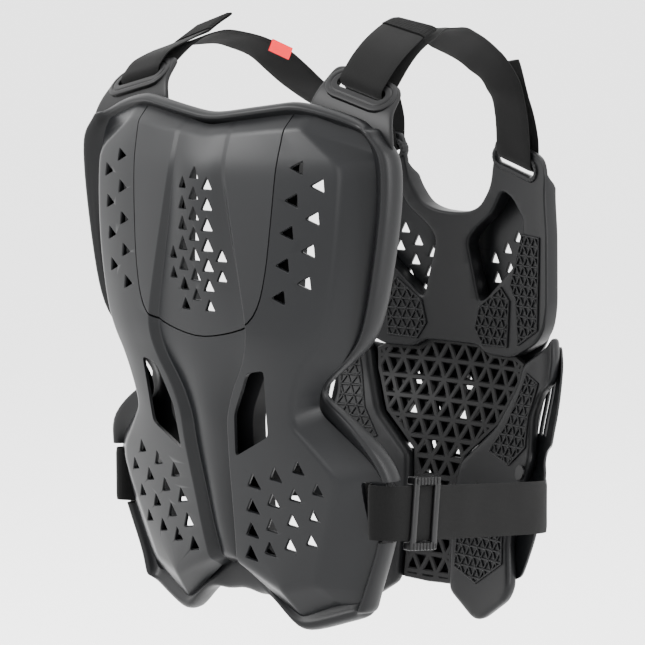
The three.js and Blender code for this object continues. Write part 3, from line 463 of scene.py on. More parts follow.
def build_repeater():
    """The node group that sets a piece on every point, turned and scaled as the point says"""
    tree = bpy.data.node_groups.new("repeat_piece", "GeometryNodeTree")
    interface = tree.interface
    interface.new_socket("Geometry", in_out="INPUT", socket_type="NodeSocketGeometry")
    piece = interface.new_socket("Piece", in_out="INPUT", socket_type="NodeSocketObject")
    skin = interface.new_socket("Finish", in_out="INPUT", socket_type="NodeSocketMaterial")
    interface.new_socket("Geometry", in_out="OUTPUT", socket_type="NodeSocketGeometry")
    add = tree.nodes.new
    given, result = add("NodeGroupInput"), add("NodeGroupOutput")
    source, spread = add("GeometryNodeObjectInfo"), add("GeometryNodeInstanceOnPoints")
    turn, to_turn = add("GeometryNodeInputNamedAttribute"), add("FunctionNodeEulerToRotation")
    size = add("GeometryNodeInputNamedAttribute")
    real, paint = add("GeometryNodeRealizeInstances"), add("GeometryNodeSetMaterial")
    for node, name in ((turn, "turn"), (size, "size")):
        set_inputs(node, Name=name).data_type = "FLOAT_VECTOR"
    for start, output, end, entry in (
        (given, "Geometry", spread, "Points"), (given, "Piece", source, "Object"),
        (source, "Geometry", spread, "Instance"), (turn, "Attribute", to_turn, "Euler"),
        (to_turn, "Rotation", spread, "Rotation"), (size, "Attribute", spread, "Scale"),
        (spread, "Instances", real, "Geometry"), (real, "Geometry", paint, "Geometry"),
        (given, "Finish", paint, "Material"), (paint, "Geometry", result, "Geometry"),
    ):
        tree.links.new(start.outputs[output], end.inputs[entry])
    return tree, piece.identifier, skin.identifier


REPEATER, PIECE_SOCKET, FINISH_SOCKET = build_repeater()


def repeat(name, piece, places, material):
    """One mesh of many copies of piece. places lists (point, axes as a matrix, size)."""
    mesh = bpy.data.meshes.new(name)
    mesh.from_pydata([Vector(p) * MM for p, _, _ in places], [], [])
    turns = mesh.attributes.new("turn", "FLOAT_VECTOR", "POINT")
    sizes = mesh.attributes.new("size", "FLOAT_VECTOR", "POINT")
    turns.data.foreach_set("vector", [v for _, axes, _ in places for v in axes.to_euler()])
    sizes.data.foreach_set("vector", [v for _, _, size in places for v in size])
    obj = add_object(name, mesh)
    modifier = obj.modifiers.new("repeat", "NODES")
    modifier.node_group = REPEATER
    modifier[PIECE_SOCKET] = piece
    modifier[FINISH_SOCKET] = material
    bake(obj)
    bpy.data.objects.remove(piece)
    return shade(obj)


def axes_from(along, normal):
    """Axes with X along the one and Z along the other"""
    z = Vector(normal).normalized()
    y = z.cross(Vector(along)).normalized()
    return Matrix((y.cross(z), y, z)).transposed()


print("tools ready")

# %% [markdown]
# ## The surface of the front shell
# One row of points runs from the sunken centre over the sharp ridge, across the swelling face,
# round its edge and down the side wall. The rows are joined down the body first, with corners as
# crisp as each row says, and then across, with its own radius at the groove, ridge and edge.

# %% Front surface
def front_row(row):
    """The seven points of one row, from the centre outward"""
    ridge_x, edge_x = row["r_at"] * HALF_WIDTH, row["e_at"] * HALF_WIDTH
    middle_x = mix(ridge_x, edge_x, MIDDLE_SHARE)

    def level(x):
        return -FRONT_REACH * mix(row["c_down"], row["e_down"], min(1, x / edge_x))

    centre_y, ridge_y, edge_y = (-FRONT_DEPTH * row[k] for k in ("c_out", "r_out", "e_out"))
    foot_y = ridge_y + row["groove"] * GROOVE_DEPTH
    middle_y = mix(ridge_y, edge_y, MIDDLE_SHARE) - FACE_CROWN
    crown_x, groove_x = ridge_x * 0.45, ridge_x - GROOVE_RUN
    return [
        Vector((0, centre_y, level(0))),
        Vector((crown_x, mix(centre_y, foot_y, 0.3), level(crown_x))),
        Vector((groove_x, foot_y, level(groove_x))),
        Vector((ridge_x, ridge_y, level(ridge_x))),
        Vector((middle_x, middle_y, level(middle_x) - row["m_drop"] * FRONT_REACH)),
        Vector((edge_x, edge_y, -FRONT_REACH * row["e_down"])),
        Vector((row["f_at"] * HALF_WIDTH, -FRONT_DEPTH * row["f_out"], -FRONT_REACH * row["f_down"])),
    ]


ACROSS_RADII = [30, 30, 1.2, 0.9, 40, 4.5, 0]
MIDDLE = 4
CRISP_POINT = 3
POINT_TOP = -425
POINT_FADE = 40


def refined(sheet):
    """A fine grid from the few rows of points, rounded down the body and then across it"""
    crisp = [row["crisp"] for row in FRONT_ROWS]
    fine_columns = [rounded(column, crisp) for column in zip(*sheet)]
    out = []
    for row in zip(*fine_columns):
        radii = list(ACROSS_RADII)
        above_point = clamp01((row[-3].z - POINT_TOP) / POINT_FADE)
        radii[MIDDLE] = mix(CRISP_POINT, ACROSS_RADII[MIDDLE], above_point)
        out.append(rounded(row, radii[:0:-1] + radii))
    return out


def sheet_normals(sheet):
    """Unit normals of a grid, pointing to the front"""
    rows, cols = len(sheet), len(sheet[0])
    normals = []
    for r in range(rows):
        line = []
        for c in range(cols):
            across = sheet[r][min(cols - 1, c + 1)] - sheet[r][max(0, c - 1)]
            down = sheet[min(rows - 1, r + 1)][c] - sheet[max(0, r - 1)][c]
            normal = across.cross(down).normalized()
            line.append(-normal if normal.y > 0 else normal)
        normals.append(line)
    return normals


coarse = [both_sides(front_row(row)) for row in FRONT_ROWS]
coarse_inner = [[p - n * SHELL_WALL for p, n in zip(row, normals)]
                for row, normals in zip(coarse, sheet_normals(coarse))]
outer, inner = refined(coarse), refined(coarse_inner)
columns = len(outer[0])
skin = BVHTree.FromPolygons(
    [p for row in outer for p in row],
    [(r * columns + c, r * columns + c + 1, (r + 1) * columns + c + 1, (r + 1) * columns + c)
     for r in range(len(outer) - 1) for c in range(columns - 1)],
)


def on_front(x, z):
    """The point of the shell's face at x and z, and its normal"""
    point, normal, _, _ = skin.ray_cast(Vector((x, -400, z)), Vector((0, 1, 0)))
    return point, (-normal if normal.y > 0 else normal)


print("front grid:", len(outer), "by", columns)

# %% [markdown]
# ## Vents
# The vents are triangles in five fields. Each is cut square to the face where it sits, with a lip
# that flares at the surface as a moulded hole does. One cutter per shape is repeated with the
# node group, then a single cut makes them all.

# %% Vents
VENT_UP = [(-0.5, -0.45), (0.5, -0.45), (0, 0.5)]
VENT_LEAN = [(-0.6, -0.05), (0.38, -0.42), (0.28, 0.45)]
VENT_LOW = [(-0.5, -0.3), (0.5, -0.5), (0.02, 0.55)]
FLARE = [(0.14, 0.10), (0.0, 0.045), (-0.05, 0.012), (-0.11, 0.0), (-0.75, 0.0)]
FIELD_TOP = -107
WING_TOP = -99
WING_PITCH = 24.6
LOWER_ROWS = table("first step top fall count", [
    (43, 21, -343, -7, 3), (38.5, 20.3, -363, -6, 4), (35, 19.6, -382.5, -5.5, 4),
    (31.5, 19, -401, -5, 4),
])
VENT_ROUNDING = 0.13


def vent_cutter(kind):
    """A flared plug of size one over a rounded triangle, its mouth toward +Z"""
    rings = []
    for height, grow in FLARE:
        corners = [Vector((u, v, 0)) for u, v in kind]
        middle = sum(corners, Vector()) / 3
        wide = [middle + (c - middle) * (1 + grow * 3.4) for c in corners]
        ring = rounded(wide, VENT_ROUNDING, 3, closed=True)
        rings.append([Vector((p.x, p.y, height)) / MM for p in ring])
    return loft("vent_cutter", rings, SHELL)


def vent_places(spots):
    """Places square to the face for (x, z, size)"""
    places = []
    for x, z, size in spots:
        point, normal = on_front(x, z)
        places.append((point, axes_from((1, 0, 0), normal), (size * MM,) * 3))
    return places


def both(spots):
    return spots + [(-x, z, size) for x, z, size in spots if x]


def cut_vents(obj, kind, spots):
    cutter = repeat("vents", vent_cutter(kind), vent_places(spots), SHELL)
    return cut(obj, cutter)


def cut_vents_both(obj, kind, spots):
    """Vents of a leaning shape, mirrored on the other side"""
    cut_vents(obj, kind, spots)
    cut_vents(obj, [(-u, v) for u, v in kind], [(-x, z, size) for x, z, size in spots])


centre_spots = []
for n in range(7):
    size = CENTRE_VENT * (0.86 + 0.28 * math.sin(math.pi * (n + 1) / 8))
    centre_spots.append((0, FIELD_TOP - n * VENT_PITCH, size))
    z = FIELD_TOP - (n + 0.5) * VENT_PITCH
    centre_spots += both([(VENT_STEP, z, size)])
    if n in (4, 5):
        centre_spots += both([(VENT_STEP * 2, z + VENT_PITCH / 2, size * 0.9)])
wing_spots = []
for n in range(5):
    wing_spots.append((96 - n * 3.3, WING_TOP - n * WING_PITCH, WING_VENT))
    if n < 4:
        wing_spots.append((114 - n * 3.3, WING_TOP - (n + 0.52) * WING_PITCH, WING_VENT))
lower_spots = [
    (row["first"] + n * row["step"], row["top"] - n * row["fall"], WING_VENT * (1 - 0.06 * n))
    for row in LOWER_ROWS for n in range(row["count"])
]
print("vents:", len(centre_spots) + 2 * len(wing_spots) + 2 * len(lower_spots))

# %% [markdown]
# ## Front shell and insert panel
# Shell and panel are the same moulded surface, parted along a seam. One solid is cut by the seam's
# outline from outside, the other from inside, which leaves the seam open by its real gap.

# %% Front shell and insert
SEAM = [(80, 10), (79, -66), (77, -95), (75, -130), (71, -175), (65, -205), (54, -221), (30, -229),
        (0, -234)]
KITE = [(66, -254), (49.5, -257.5), (33, -290), (29.5, -324), (62.5, -306)]


def seam_outline(grow):
    half = [(0 if x == 0 else x + grow, z - grow if i > 4 else z) for i, (x, z) in enumerate(SEAM)]
    return soft_corners(whole(half[::-1]), 14)


near, far = -FRONT_DEPTH - 40, -FRONT_DEPTH * 0.35
insert = between_sheets("front_insert_panel", outer, inner, INSERT)
cut(insert, prism("seam", seam_outline(-SEAM_GAP / 2), near, far, INSERT), "INTERSECT")
cut_vents(insert, VENT_UP, centre_spots)

shell = between_sheets("front_shell", outer, inner, SHELL)
cut(shell, prism("seam", seam_outline(SEAM_GAP / 2), near, far, SHELL))
kite = soft_corners(KITE, 4)
slot = soft_corners(box_outline(WAIST_SLOT_X, -WAIST_DROP, WAIST_SLOT_WIDTH, WAIST_STRAP_WIDTH + 4), 2)
for outline in (kite, mirrored(kite), slot, mirrored(slot)):
    cut(shell, prism("opening", outline, near, far, SHELL))
cut_vents_both(shell, VENT_LEAN, wing_spots)
cut_vents_both(shell, VENT_LOW, lower_spots)
place_piece(shell, "shell", "front_shell")
place_piece(insert, "insert", "front_insert_panel")
print("shell faces:", len(shell.data.polygons), "insert faces:", len(insert.data.polygons))

# %% [markdown]
# ## Front liner
# Foam behind the shell, with a fat rounded rim that stands out all round it. A cage of quads
# follows the shell's foot and is subdivided, which puffs the rim. The windows behind the vent
# fields are cut through afterwards.

# %% Front liner
LINER_SHARES = (0, 0.17, 0.30, 0.50, 0.60, 0.86)
LINER_FALL = (HEM_DROP, HEM_DROP, HEM_START, RIM_HANG, RIM_HANG, RIM_HANG, RIM_HANG)
RIM_START = len(LINER_SHARES) + 1
RIM_SECTION = table("x_flat x_full y_flat y_full", [
    (-7, 2.4, 4, -RIM_LIP), (-5, RIM_OUT, 5, 2 - RIM_LIP), (-4, RIM_OUT + 1.5, 8, 4),
])


def height_at(points, x):
    """Height of a row at x, read off its points"""
    i = next(k for k in range(1, len(points)) if points[k].x >= x - 1e-6)
    a, b = points[i - 1], points[i]
    return mix(a.z, b.z, clamp01((x - a.x) / (b.x - a.x)))


def liner_row(row, r):
    """The front and back points of one row of the foam, from the centre to the rim"""
    lip = r in (0, len(FRONT_ROWS) - 1)
    points = front_row(row)
    foot, rim = points[6], row["rim"]
    centre_y = -FRONT_DEPTH * row["c_out"] + SHELL_WALL
    centre_y = centre_y + PIECE_GAP if lip else max(centre_y + PAD_STANDOFF, foot.y - 26)
    wall = mix(PAD_TOP_WALL, PAD_WALL, clamp01((r - 0.5) / 2))
    valley = foot.y + SHELL_WALL + 0.3
    front = [Vector((foot.x * t, mix(centre_y, valley, t * t), height_at(points, foot.x * t)))
             for t in LINER_SHARES]
    edge_x = foot.x + row["flare"]
    front.append(Vector((foot.x + mix(-9, -1, rim), valley, foot.z)))
    front += [Vector((edge_x + mix(p["x_flat"], p["x_full"], rim), foot.y + mix(p["y_flat"], p["y_full"], rim),
                      foot.z)) for p in RIM_SECTION]
    behind = foot.y + min(RIM_BACK, SHELL_WALL + wall) + 1
    back_x = edge_x + mix(-7, RIM_OUT - 1.5, rim)
    back = [Vector((p.x, p.y + wall, p.z)) if c < RIM_START
            else Vector((back_x - (len(front) - 1 - c) * 2, behind, p.z)) for c, p in enumerate(front)]
    return front, back


def lip_rows(section, up):
    """The two extra rows that carry the rim over the upper or lower lip"""
    def reach(c):
        if c >= RIM_START:
            return 0.6 * (RIM_RISE if up else -RIM_HANG)
        return RIM_RISE if up else -LINER_FALL[c]

    def shift(points, share, dy, pull):
        out = []
        for c, p in enumerate(points):
            rim = c >= RIM_START
            hem = not up and LINER_FALL[min(c, RIM_START - 1)] == HEM_DROP
            forward = 0 if rim or hem else dy
            out.append(Vector((p.x - (pull if rim else 0), p.y - forward, p.z + reach(c) * share)))
        return out

    front, back = section
    crest = (shift(front, 0.5, SHELL_WALL + 5, 1), shift(back, 0.5, 0, 1))
    brow = (shift(front, 1.15, 3, 4), shift(back, 1.15, 0, 4))
    return [brow, crest] if up else [crest, brow]


sections = [liner_row(row, r) for r, row in enumerate(FRONT_ROWS)]
sections = lip_rows(sections[0], True) + sections + lip_rows(sections[-1], False)
liner = between_sheets("front_liner", [both_sides(s[0]) for s in sections],
                       [both_sides(s[1]) for s in sections], FOAM)
subdivide(liner)
WINDOWS = [
    [(84, -90), (104, -92), (119, -110), (116, -188), (104, -204), (76, -202), (80, -150)],
    [(34, -332), (84, -330), (104, -352), (92, -396), (80, -402), (30, -404)],
    KITE,
]
CENTRE_WINDOW = whole([(0, -224), (22, -218), (36, -180), (30, -100), (0, -96)])
WAIST_NOTCH = box_outline(WAIST_SLOT_X + NOTCH_SHIFT, -WAIST_DROP, NOTCH_WIDTH, WAIST_STRAP_WIDTH + 6)
liner_cuts = [(side, 10, far) for outline in WINDOWS for side in (outline, mirrored(outline))]
liner_cuts += [(WAIST_NOTCH, 3, 0), (mirrored(WAIST_NOTCH), 3, 0), (CENTRE_WINDOW, 10, 0)]
for outline, radius, depth in liner_cuts:
    cut(liner, prism("window", soft_corners(outline, radius), near, depth, FOAM), angle=50)
place_piece(liner, "foam", "front_liner")
print("liner faces:", len(liner.data.polygons))

# %% [markdown]
# ## The back surface
# The back bends round the body and draws in at the waist. Plates of the back are flat outlines
# with rounded edges, cut into a fine grid and then bent on to this surface.

# %% Back surface and plates
def back_y(x, z):
    """Depth of the body side of the back"""
    share = -z / BACK_REACH
    rows = BACK_PROFILE
    if share <= rows[0]["down"]:
        out = rows[0]["out"]
    elif share >= rows[-1]["down"]:
        out = rows[-1]["out"]
    else:
        i = next(k for k in range(1, len(rows)) if rows[k]["down"] >= share)
        a, b = rows[i - 1], rows[i]
        before, after = rows[max(0, i - 2)], rows[min(len(rows) - 1, i + 1)]
        run = b["down"] - a["down"]
        t = (share - a["down"]) / run
        slope_a = (b["out"] - before["out"]) / max(1e-6, b["down"] - before["down"]) * run
        slope_b = (after["out"] - a["out"]) / max(1e-6, after["down"] - a["down"]) * run
        out = ((2 * t ** 3 - 3 * t ** 2 + 1) * a["out"] + (t ** 3 - 2 * t ** 2 + t) * slope_a
               + (3 * t ** 2 - 2 * t ** 3) * b["out"] + (t ** 3 - t ** 2) * slope_b)
    return BACK_DEPTH * out - BACK_BOW * x * x - WING_CURL * max(0, abs(x) - WING_START) ** 2


def bend_to_back(obj, extra=None):
    """Lays flat geometry, whose y is the depth behind the body surface, on to the bent back"""
    for v in obj.data.vertices:
        x, y, z = v.co / MM
        rise = extra(x, z) if extra else 0
        v.co = Vector((x, back_y(x, z) + y + rise, z)) * MM
    return obj


def plate(name, outline, holes, near, far, radius, material, step=8, thin=None):
    """A flat plate between two depths behind the body surface, with rounded edges, cut into a fine grid for
    bending
    """
    curve = bpy.data.curves.new(name, "CURVE")
    curve.dimensions = "2D"
    curve.fill_mode = "BOTH"
    curve.extrude = ((far - near) / 2 - radius) * MM
    curve.bevel_depth = radius * MM
    curve.bevel_resolution = 3
    curve.offset = -radius * MM
    for path in [outline] + holes:
        spline = curve.splines.new("POLY")
        spline.points.add(len(path) - 1)
        for point, (x, z) in zip(spline.points, path):
            point.co = (x * MM, z * MM, 0, 1)
        spline.use_cyclic_u = True
    flat = add_object(name, curve)
    mesh = plain_mesh(flat)
    bpy.data.objects.remove(flat)
    work = bmesh.new()
    work.from_mesh(mesh)
    bmesh.ops.remove_doubles(work, verts=work.verts, dist=0.02 * MM)
    for axis in (0, 1):
        values = [v.co[axis] / MM for v in work.verts]
        level = min(values) + step
        while level < max(values) - 0.5:
            point, normal = [0, 0, 0], [0, 0, 0]
            point[axis], normal[axis] = level * MM, 1
            geometry = list(work.verts) + list(work.edges) + list(work.faces)
            bmesh.ops.bisect_plane(work, geom=geometry, plane_co=point, plane_no=normal)
            level += step
    half = (far - near) / 2
    for v in work.verts:
        x, z, depth = v.co / MM
        v.co = Vector((x, depth + half + near, z)) * MM
    work.to_mesh(mesh)
    work.free()
    mesh.materials.clear()
    mesh.materials.append(material)
    mesh.name = name
    obj = add_object(name, mesh)
    if thin:
        for v in mesh.vertices:
            v.co.y = thin(v.co.z / MM, v.co.y / MM) * MM
    return obj


def inside(outline, x, z):
    """True if the point lies in the outline"""
    hit = False
    for i, (x1, z1) in enumerate(outline):
        x2, z2 = outline[i - 1]
        if (z1 > z) != (z2 > z) and x < (x2 - x1) * (z - z1) / (z2 - z1) + x1:
            hit = not hit
    return hit


BAR_SECTION = [(-0.5, -0.3), (-0.3, -0.5), (0.3, -0.5), (0.5, -0.3), (0.5, 0.3), (0.3, 0.5), (-0.3, 0.5),
               (-0.5, 0.3)]
BAR_TESTS = 12


def lattice(name, outline, pitch, bar, low, high, material):
    """Triangular bars in an outline and along it, between two depths behind the body surface"""
    rings = [[Vector((x / MM, bar * u, (high - low) * v)) for u, v in BAR_SECTION]
             for x in (-0.5, -0.25, 0, 0.25, 0.5)]
    unit = loft("bar", rings, material)
    xs, zs = [p[0] for p in outline], [p[1] for p in outline]
    height = pitch * math.sin(math.pi / 3)
    first = math.floor(min(xs) / pitch) - 1
    lines = []
    level, row = max(zs) + height, 0
    while level > min(zs) - height:
        shift = pitch / 2 if row % 2 else 0
        for n in range(first, int(max(xs) / pitch) + 3):
            a = (n * pitch + shift, level)
            lines += [(a, (a[0] + pitch * run, level - height * fall))
                      for run, fall in ((1, 0), (0.5, 1), (-0.5, 1))]
        level -= height
        row += 1
    bars = []
    for a, b in lines:
        tests = [(mix(a[0], b[0], k / BAR_TESTS), mix(a[1], b[1], k / BAR_TESTS)) for k in range(BAR_TESTS + 1)]
        kept = [spot for spot in tests if inside(outline, *spot)]
        if len(kept) > 2:
            bars.append((kept[0], kept[-1]))
    bars += [(outline[i - 1], outline[i]) for i in range(len(outline))]
    places = []
    for (x1, z1), (x2, z2) in bars:
        run = Vector((x2 - x1, 0, z2 - z1))
        if run.length > 0.5:
            middle = Vector(((x1 + x2) / 2, (low + high) / 2, (z1 + z2) / 2))
            size = ((run.length + bar * 0.5) * MM, 1, 1)
            places.append((middle, axes_from(run, (0, -1, 0)), size))
    return bend_to_back(repeat(name, unit, places, material))


print("back depth at the shoulder blades:", round(back_y(0, -200)))

# %% [markdown]
# ## Upper back
# The foam of the upper back has two cut-outs, two strap slots in its thin upper tabs, and panels
# of raised lattice on the side toward the body. A hard skin with a raised spine lies behind it.

# %% Upper back
UPPER_LINER = [(0, -156), (17, -155), (31, -150), (43, -134), (48, -116), (50, -97), (56, -92),
               (97, -101), (110, -106), (115, -116), (114, -137), (115, -149), (117, -165), (117, -224),
               (112, -242), (101, -255), (70, -270), (39, -270), (29, -263), (0, -263)]
CUT_OUT = [(59, -135), (70, -140), (84, -156), (84, -178), (71, -196), (37, -225), (30, -227),
           (17, -179), (25, -169), (46, -154), (55, -140)]
TAB_LEVEL = -124


def thin_tab(z, depth):
    """The foam thins to the strap tabs above their level"""
    share = smooth(clamp01((z - TAB_LEVEL + 6) / 12))
    return depth * mix(1, TAB_WALL / UPPER_FOAM, share)


back_slot = slot_outline(BACK_SLOT_X, -BACK_SLOT_DROP, SLOT_LENGTH, SLOT_HEIGHT, SLOT_TILT)
cut_out = soft_corners(CUT_OUT, 5)
holes = [back_slot, mirrored(back_slot), cut_out, mirrored(cut_out)]
upper_liner = plate("back_upper_liner", soft_corners(whole(UPPER_LINER), 7), holes, 0, UPPER_FOAM, 2.4,
                    FOAM, thin=thin_tab)
shade(bend_to_back(upper_liner), 45)
PANELS = [
    [(57, -214), (32, -231), (27, -249), (36, -262), (65, -261), (67, -224)],
    [(84, -169), (106, -170), (103, -244), (79, -258), (76, -222), (69, -211)],
]
panels = [lattice("panel", side, PANEL_PITCH, PANEL_BAR, -1.3, 1.0, FOAM)
          for outline in PANELS for side in (outline, mirrored(outline))]
rings = [lattice("ring", slot_outline(sign * BACK_SLOT_X, -BACK_SLOT_DROP, SLOT_LENGTH + 5, SLOT_HEIGHT + 5,
                                      sign * SLOT_TILT, 8), 900, 4.5, -1.4, TAB_WALL + 1.2, FOAM)
         for sign in (1, -1)]
panels = shade(join("back_upper_panels", panels + rings))
place_piece(upper_liner, "foam", "back_upper_liner")
place_piece(panels, "foam")

UPPER_PLATE = [(0, -164), (30, -158), (52, -138), (84, -132), (102, -142), (109, -160), (110, -220),
               (106, -240), (94, -262), (64, -284), (0, -288)]
BACK_VENTS = [(62, -173), (49, -183), (34, -192), (67, -188), (52, -199), (37, -208), (57, -212),
              (42, -223)]
LOWER_FACE = PAD_HEIGHT + PIECE_GAP
UPPER_FACE = LOWER_FACE + BACK_SHELL_WALL + 2 * PIECE_GAP


def triangle(x, z, size):
    return soft_corners([(x + u * size, z + v * size) for u, v in VENT_UP], 1.2)


def spine(x, z):
    return SPINE_RISE * smooth(clamp01(1 - abs(x) / 34))


vents = [triangle(sign * x, z, BACK_VENT) for x, z in BACK_VENTS for sign in (1, -1)]
upper_shell = plate("back_upper_shell", soft_corners(whole(UPPER_PLATE), 8), vents, UPPER_FACE,
                    UPPER_FACE + BACK_SHELL_WALL, 0.6, SHELL)
shade(bend_to_back(upper_shell, spine), 45)
place_piece(upper_shell, "shell", "back_upper_shell")
print("upper back vents:", len(vents))

# %% [markdown]
# ## Lower back
# The lower plate has side wings with upright slits. Between the two side pads lies an open
# lattice, built from bars that the node group sets on the edges of a triangular grid.

# %% Lower back
LOWER_PLATE = [(0, -273), (60, -274), (104, -268), (126, -254), (133, -270), (135, -290), (144, -312),
               (143, -330), (128, -337), (125, -346), (134, -356), (131, -385), (124, -407), (106, -441),
               (64, -457), (0, -459)]
SIDE_PAD = [(84, -273), (113, -256.5), (127, -246), (132, -262), (128, -284), (112, -294), (108, -313),
            (115, -345), (110, -362), (101, -395), (99, -413), (104, -448), (98, -460), (68, -480),
            (58, -480), (29, -461), (25, -380), (28, -357), (64, -325), (80, -290)]
LATTICE_EDGE = [(0, -264), (28, -264.4), (39, -271.2), (70, -271.2), (78.5, -275), (76, -290),
                (60, -323), (26, -352), (22, -380), (24, -455), (0, -456)]
SLIT_X = 113
SLIT_DROP = 304
SLIT_WIDTH = 3.4
SLIT_HEIGHT = 46
SLIT_STEP = 7
slits = [soft_corners(box_outline(sign * (SLIT_X + n * SLIT_STEP), -SLIT_DROP, SLIT_WIDTH, SLIT_HEIGHT), 1.4)
         for n in (-1, 0, 1) for sign in (1, -1)]
row_vents = [triangle(sign * x, -296 - row * 26, BACK_VENT * 1.2)
             for row in range(4) for x in (14, 42 - row * 3) for sign in (1, -1)]
lower_shell = plate("back_lower_shell", soft_corners(whole(LOWER_PLATE), 5), slits + row_vents, LOWER_FACE,
                    LOWER_FACE + BACK_SHELL_WALL, 0.6, SHELL)
shade(bend_to_back(lower_shell), 45)
place_piece(lower_shell, "shell", "back_lower_shell")

mesh_panel = lattice("back_lattice", whole(LATTICE_EDGE), LATTICE_PITCH, LATTICE_BAR, MESH_SET_BACK - 1.5,
                     MESH_SET_BACK + MESH_WALL - 0.5, RUBBER)
place_piece(mesh_panel, "mesh", "back_lattice")

side_pad = plate("back_side_pad_left", soft_corners(SIDE_PAD, 6), [], 0, PAD_HEIGHT, 4.5, FOAM, step=7)
shade(bend_to_back(side_pad), 45)
PAD_PANELS = [
    [(92, -280), (108, -286), (103, -312), (106, -336), (88, -352), (62, -344), (78, -322)],
    [(36, -384), (52, -372), (90, -398), (93, -430), (62, -450), (36, -440)],
]
pad_panel = shade(join("pad_panels_left", [
    lattice("panel", p, PANEL_PITCH, PANEL_BAR, -1.2, 1.0, FOAM) for p in PAD_PANELS]))
for pad in place_pair(side_pad, "foam", "back_side_pad"):
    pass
for panel in (pad_panel, mirror(pad_panel, "pad_panels_right")):
    place_piece(panel, "foam")
print("lattice faces:", len(mesh_panel.data.polygons))

# %% [markdown]
# ## Strap tabs of the front
# Each tab is a bent tongue from behind the foam rim, with a thick oval ring round its slot. The
# tongue is a cage like the liner. The ring is lofted round the oval with a rounded section.

# %% Front strap tabs
FRONT_TAB = table("behind drop width", [(0, 76, 88), (0, 63, 85), (3, 54, 78), (7, 47.5, 73), (17, 37.5, 70),
                                        (23, 31.2, 66)])
tab_root_y = TAB_BEHIND - FRONT_DEPTH * FRONT_ROWS[0]["f_out"]
front_slot_y = tab_root_y + SLOT_BEHIND
TAB_SHARES = [-0.5, -0.43, -0.2, 0, 0.2, 0.43, 0.5]
tab_up = Vector((0, 0.72, 0.69)).normalized()
tab_across = Vector((1, 0, -SLOT_TILT)).normalized()
tab_normal = tab_across.cross(tab_up).normalized()
tab_middle = Vector((FRONT_SLOT_X, front_slot_y, -FRONT_SLOT_DROP))


def tab_piece():
    """The left tab: tongue, slot and grooved ring"""
    def layer(side):
        rows = []
        for r, place in enumerate(FRONT_TAB):
            row = []
            for c, share in enumerate(TAB_SHARES):
                corner = c in (0, len(TAB_SHARES) - 1) and r == len(FRONT_TAB) - 1
                lift = 4 if corner else 0
                x = share * place["width"]
                lean = Vector((0, -1, 0)) if r < 2 else tab_normal
                base = Vector((FRONT_SLOT_X + x, tab_root_y + place["behind"] - lift,
                               -place["drop"] - x * SLOT_TILT - lift))
                row.append(base + lean * side * FRONT_TAB_WALL / 2)
            rows.append(row)
        return rows

    tongue = subdivide(between_sheets("tongue", layer(1), layer(-1), TAB))
    axes = (tab_across, tab_normal.cross(tab_across), tab_normal)
    rings = [[tab_middle + axes[0] * u + axes[1] * v + axes[2] * h
              for u, v in slot_outline(0, 0, SLOT_LENGTH, SLOT_HEIGHT, 0, 8)] for h in (-12, 12)]
    cut(tongue, loft("slot", rings, TAB), angle=50)
    half, rise = BINDING / 2, FRONT_TAB_WALL / 2 + BINDING_RISE
    section = rounded([(-half, -rise + 0.6, 0), (half, -rise + 0.6, 0), (half, rise - 0.6, 0),
                       (half * 0.3, rise, 0), (half * 0.1, rise - 1, 0), (-half * 0.1, rise, 0),
                       (-half, rise, 0)], 0.8, 3, closed=True)
    path = slot_outline(0, 0, SLOT_LENGTH + BINDING, SLOT_HEIGHT + BINDING, 0, 8)
    loops = []
    for i, (u, v) in enumerate(path):
        a, b = path[i - 1], path[(i + 1) % len(path)]
        out = Vector((b[1] - a[1], a[0] - b[0], 0)).normalized()
        loops.append([tab_middle + axes[0] * (u + out.x * p.x) + axes[1] * (v + out.y * p.x)
                      + axes[2] * p.y for p in section])
    ring = loft("ring", loops, TAB, closed=True)
    return shade(join("front_strap_tab_left", [tongue, ring]), 45)


tabs = place_pair(tab_piece(), "tab", "front_strap_tab")
print("tab faces:", len(tabs[0].data.polygons))

# %% [markdown]
# ## Shoulder straps
# Webbing follows one line seen from the side: the free end on top, round the bar of the front
# slot, over the shoulder, round the bar of the back slot, and its end outside. The line is swept
# with a thin section, sheared to fall outward, and given slight waves. The two sides have their
# own columns, since the two straps lie differently.

# %% Shoulder straps
SIDES = "along left right"
FRONT_CLIMB = table(SIDES, [(0.155, 0.86, 0.87), (0.32, 0.50, 0.58), (0.50, 0.24, 0.40), (0.70, 0.08, 0.31),
                            (0.90, 0.0, 0.335)])
FREE_END = table(SIDES, [(0.062, 0.64, 0.66), (0.18, 0.43, 0.56), (0.30, 0.26, 0.47), (0.42, 0.12, 0.385),
                         (0.54, 0.01, 0.30)])
TIP_RUN = table(SIDES, [(0.55, 0.0, 0.29), (0.66, -0.06, 0.135), (0.77, -0.115, -0.01)])
BACK_FALL = table(SIDES, [
    (0.98, 0.01, 0.135), (0.86, 0.03, 0.19), (0.76, 0.065, 0.25), (0.65, 0.105, 0.368), (0.534, 0.145, 0.49),
    (0.40, 0.205, 0.60), (0.27, 0.29, 0.69), (0.15, 0.38, 0.77), (0.06, 0.53, 0.84), (0.015, 0.71, 0.90),
    (0.0, 0.94, 0.96)])
OUTER_END = table(SIDES, [(-0.078, 0.9, 0.9), (-0.075, 0.80, 0.80), (-0.03, 0.62, 0.62), (0.04, 0.44, 0.52),
                          (0.12, 0.29, 0.44)])
STRAP_BANK = table("y left right", [
    (-60, SLOT_TILT, SLOT_TILT), (-20, 0.20, 0.33), (13, -0.10, 0.20), (47, -0.36, 0.12), (100, -0.32, 0.0),
    (127, -0.15, 0.10), (139, 0.20, SLOT_TILT)])
bar = tab_middle + tab_up * SLOT_HEIGHT / 2
front_loop = (bar.y, bar.z)
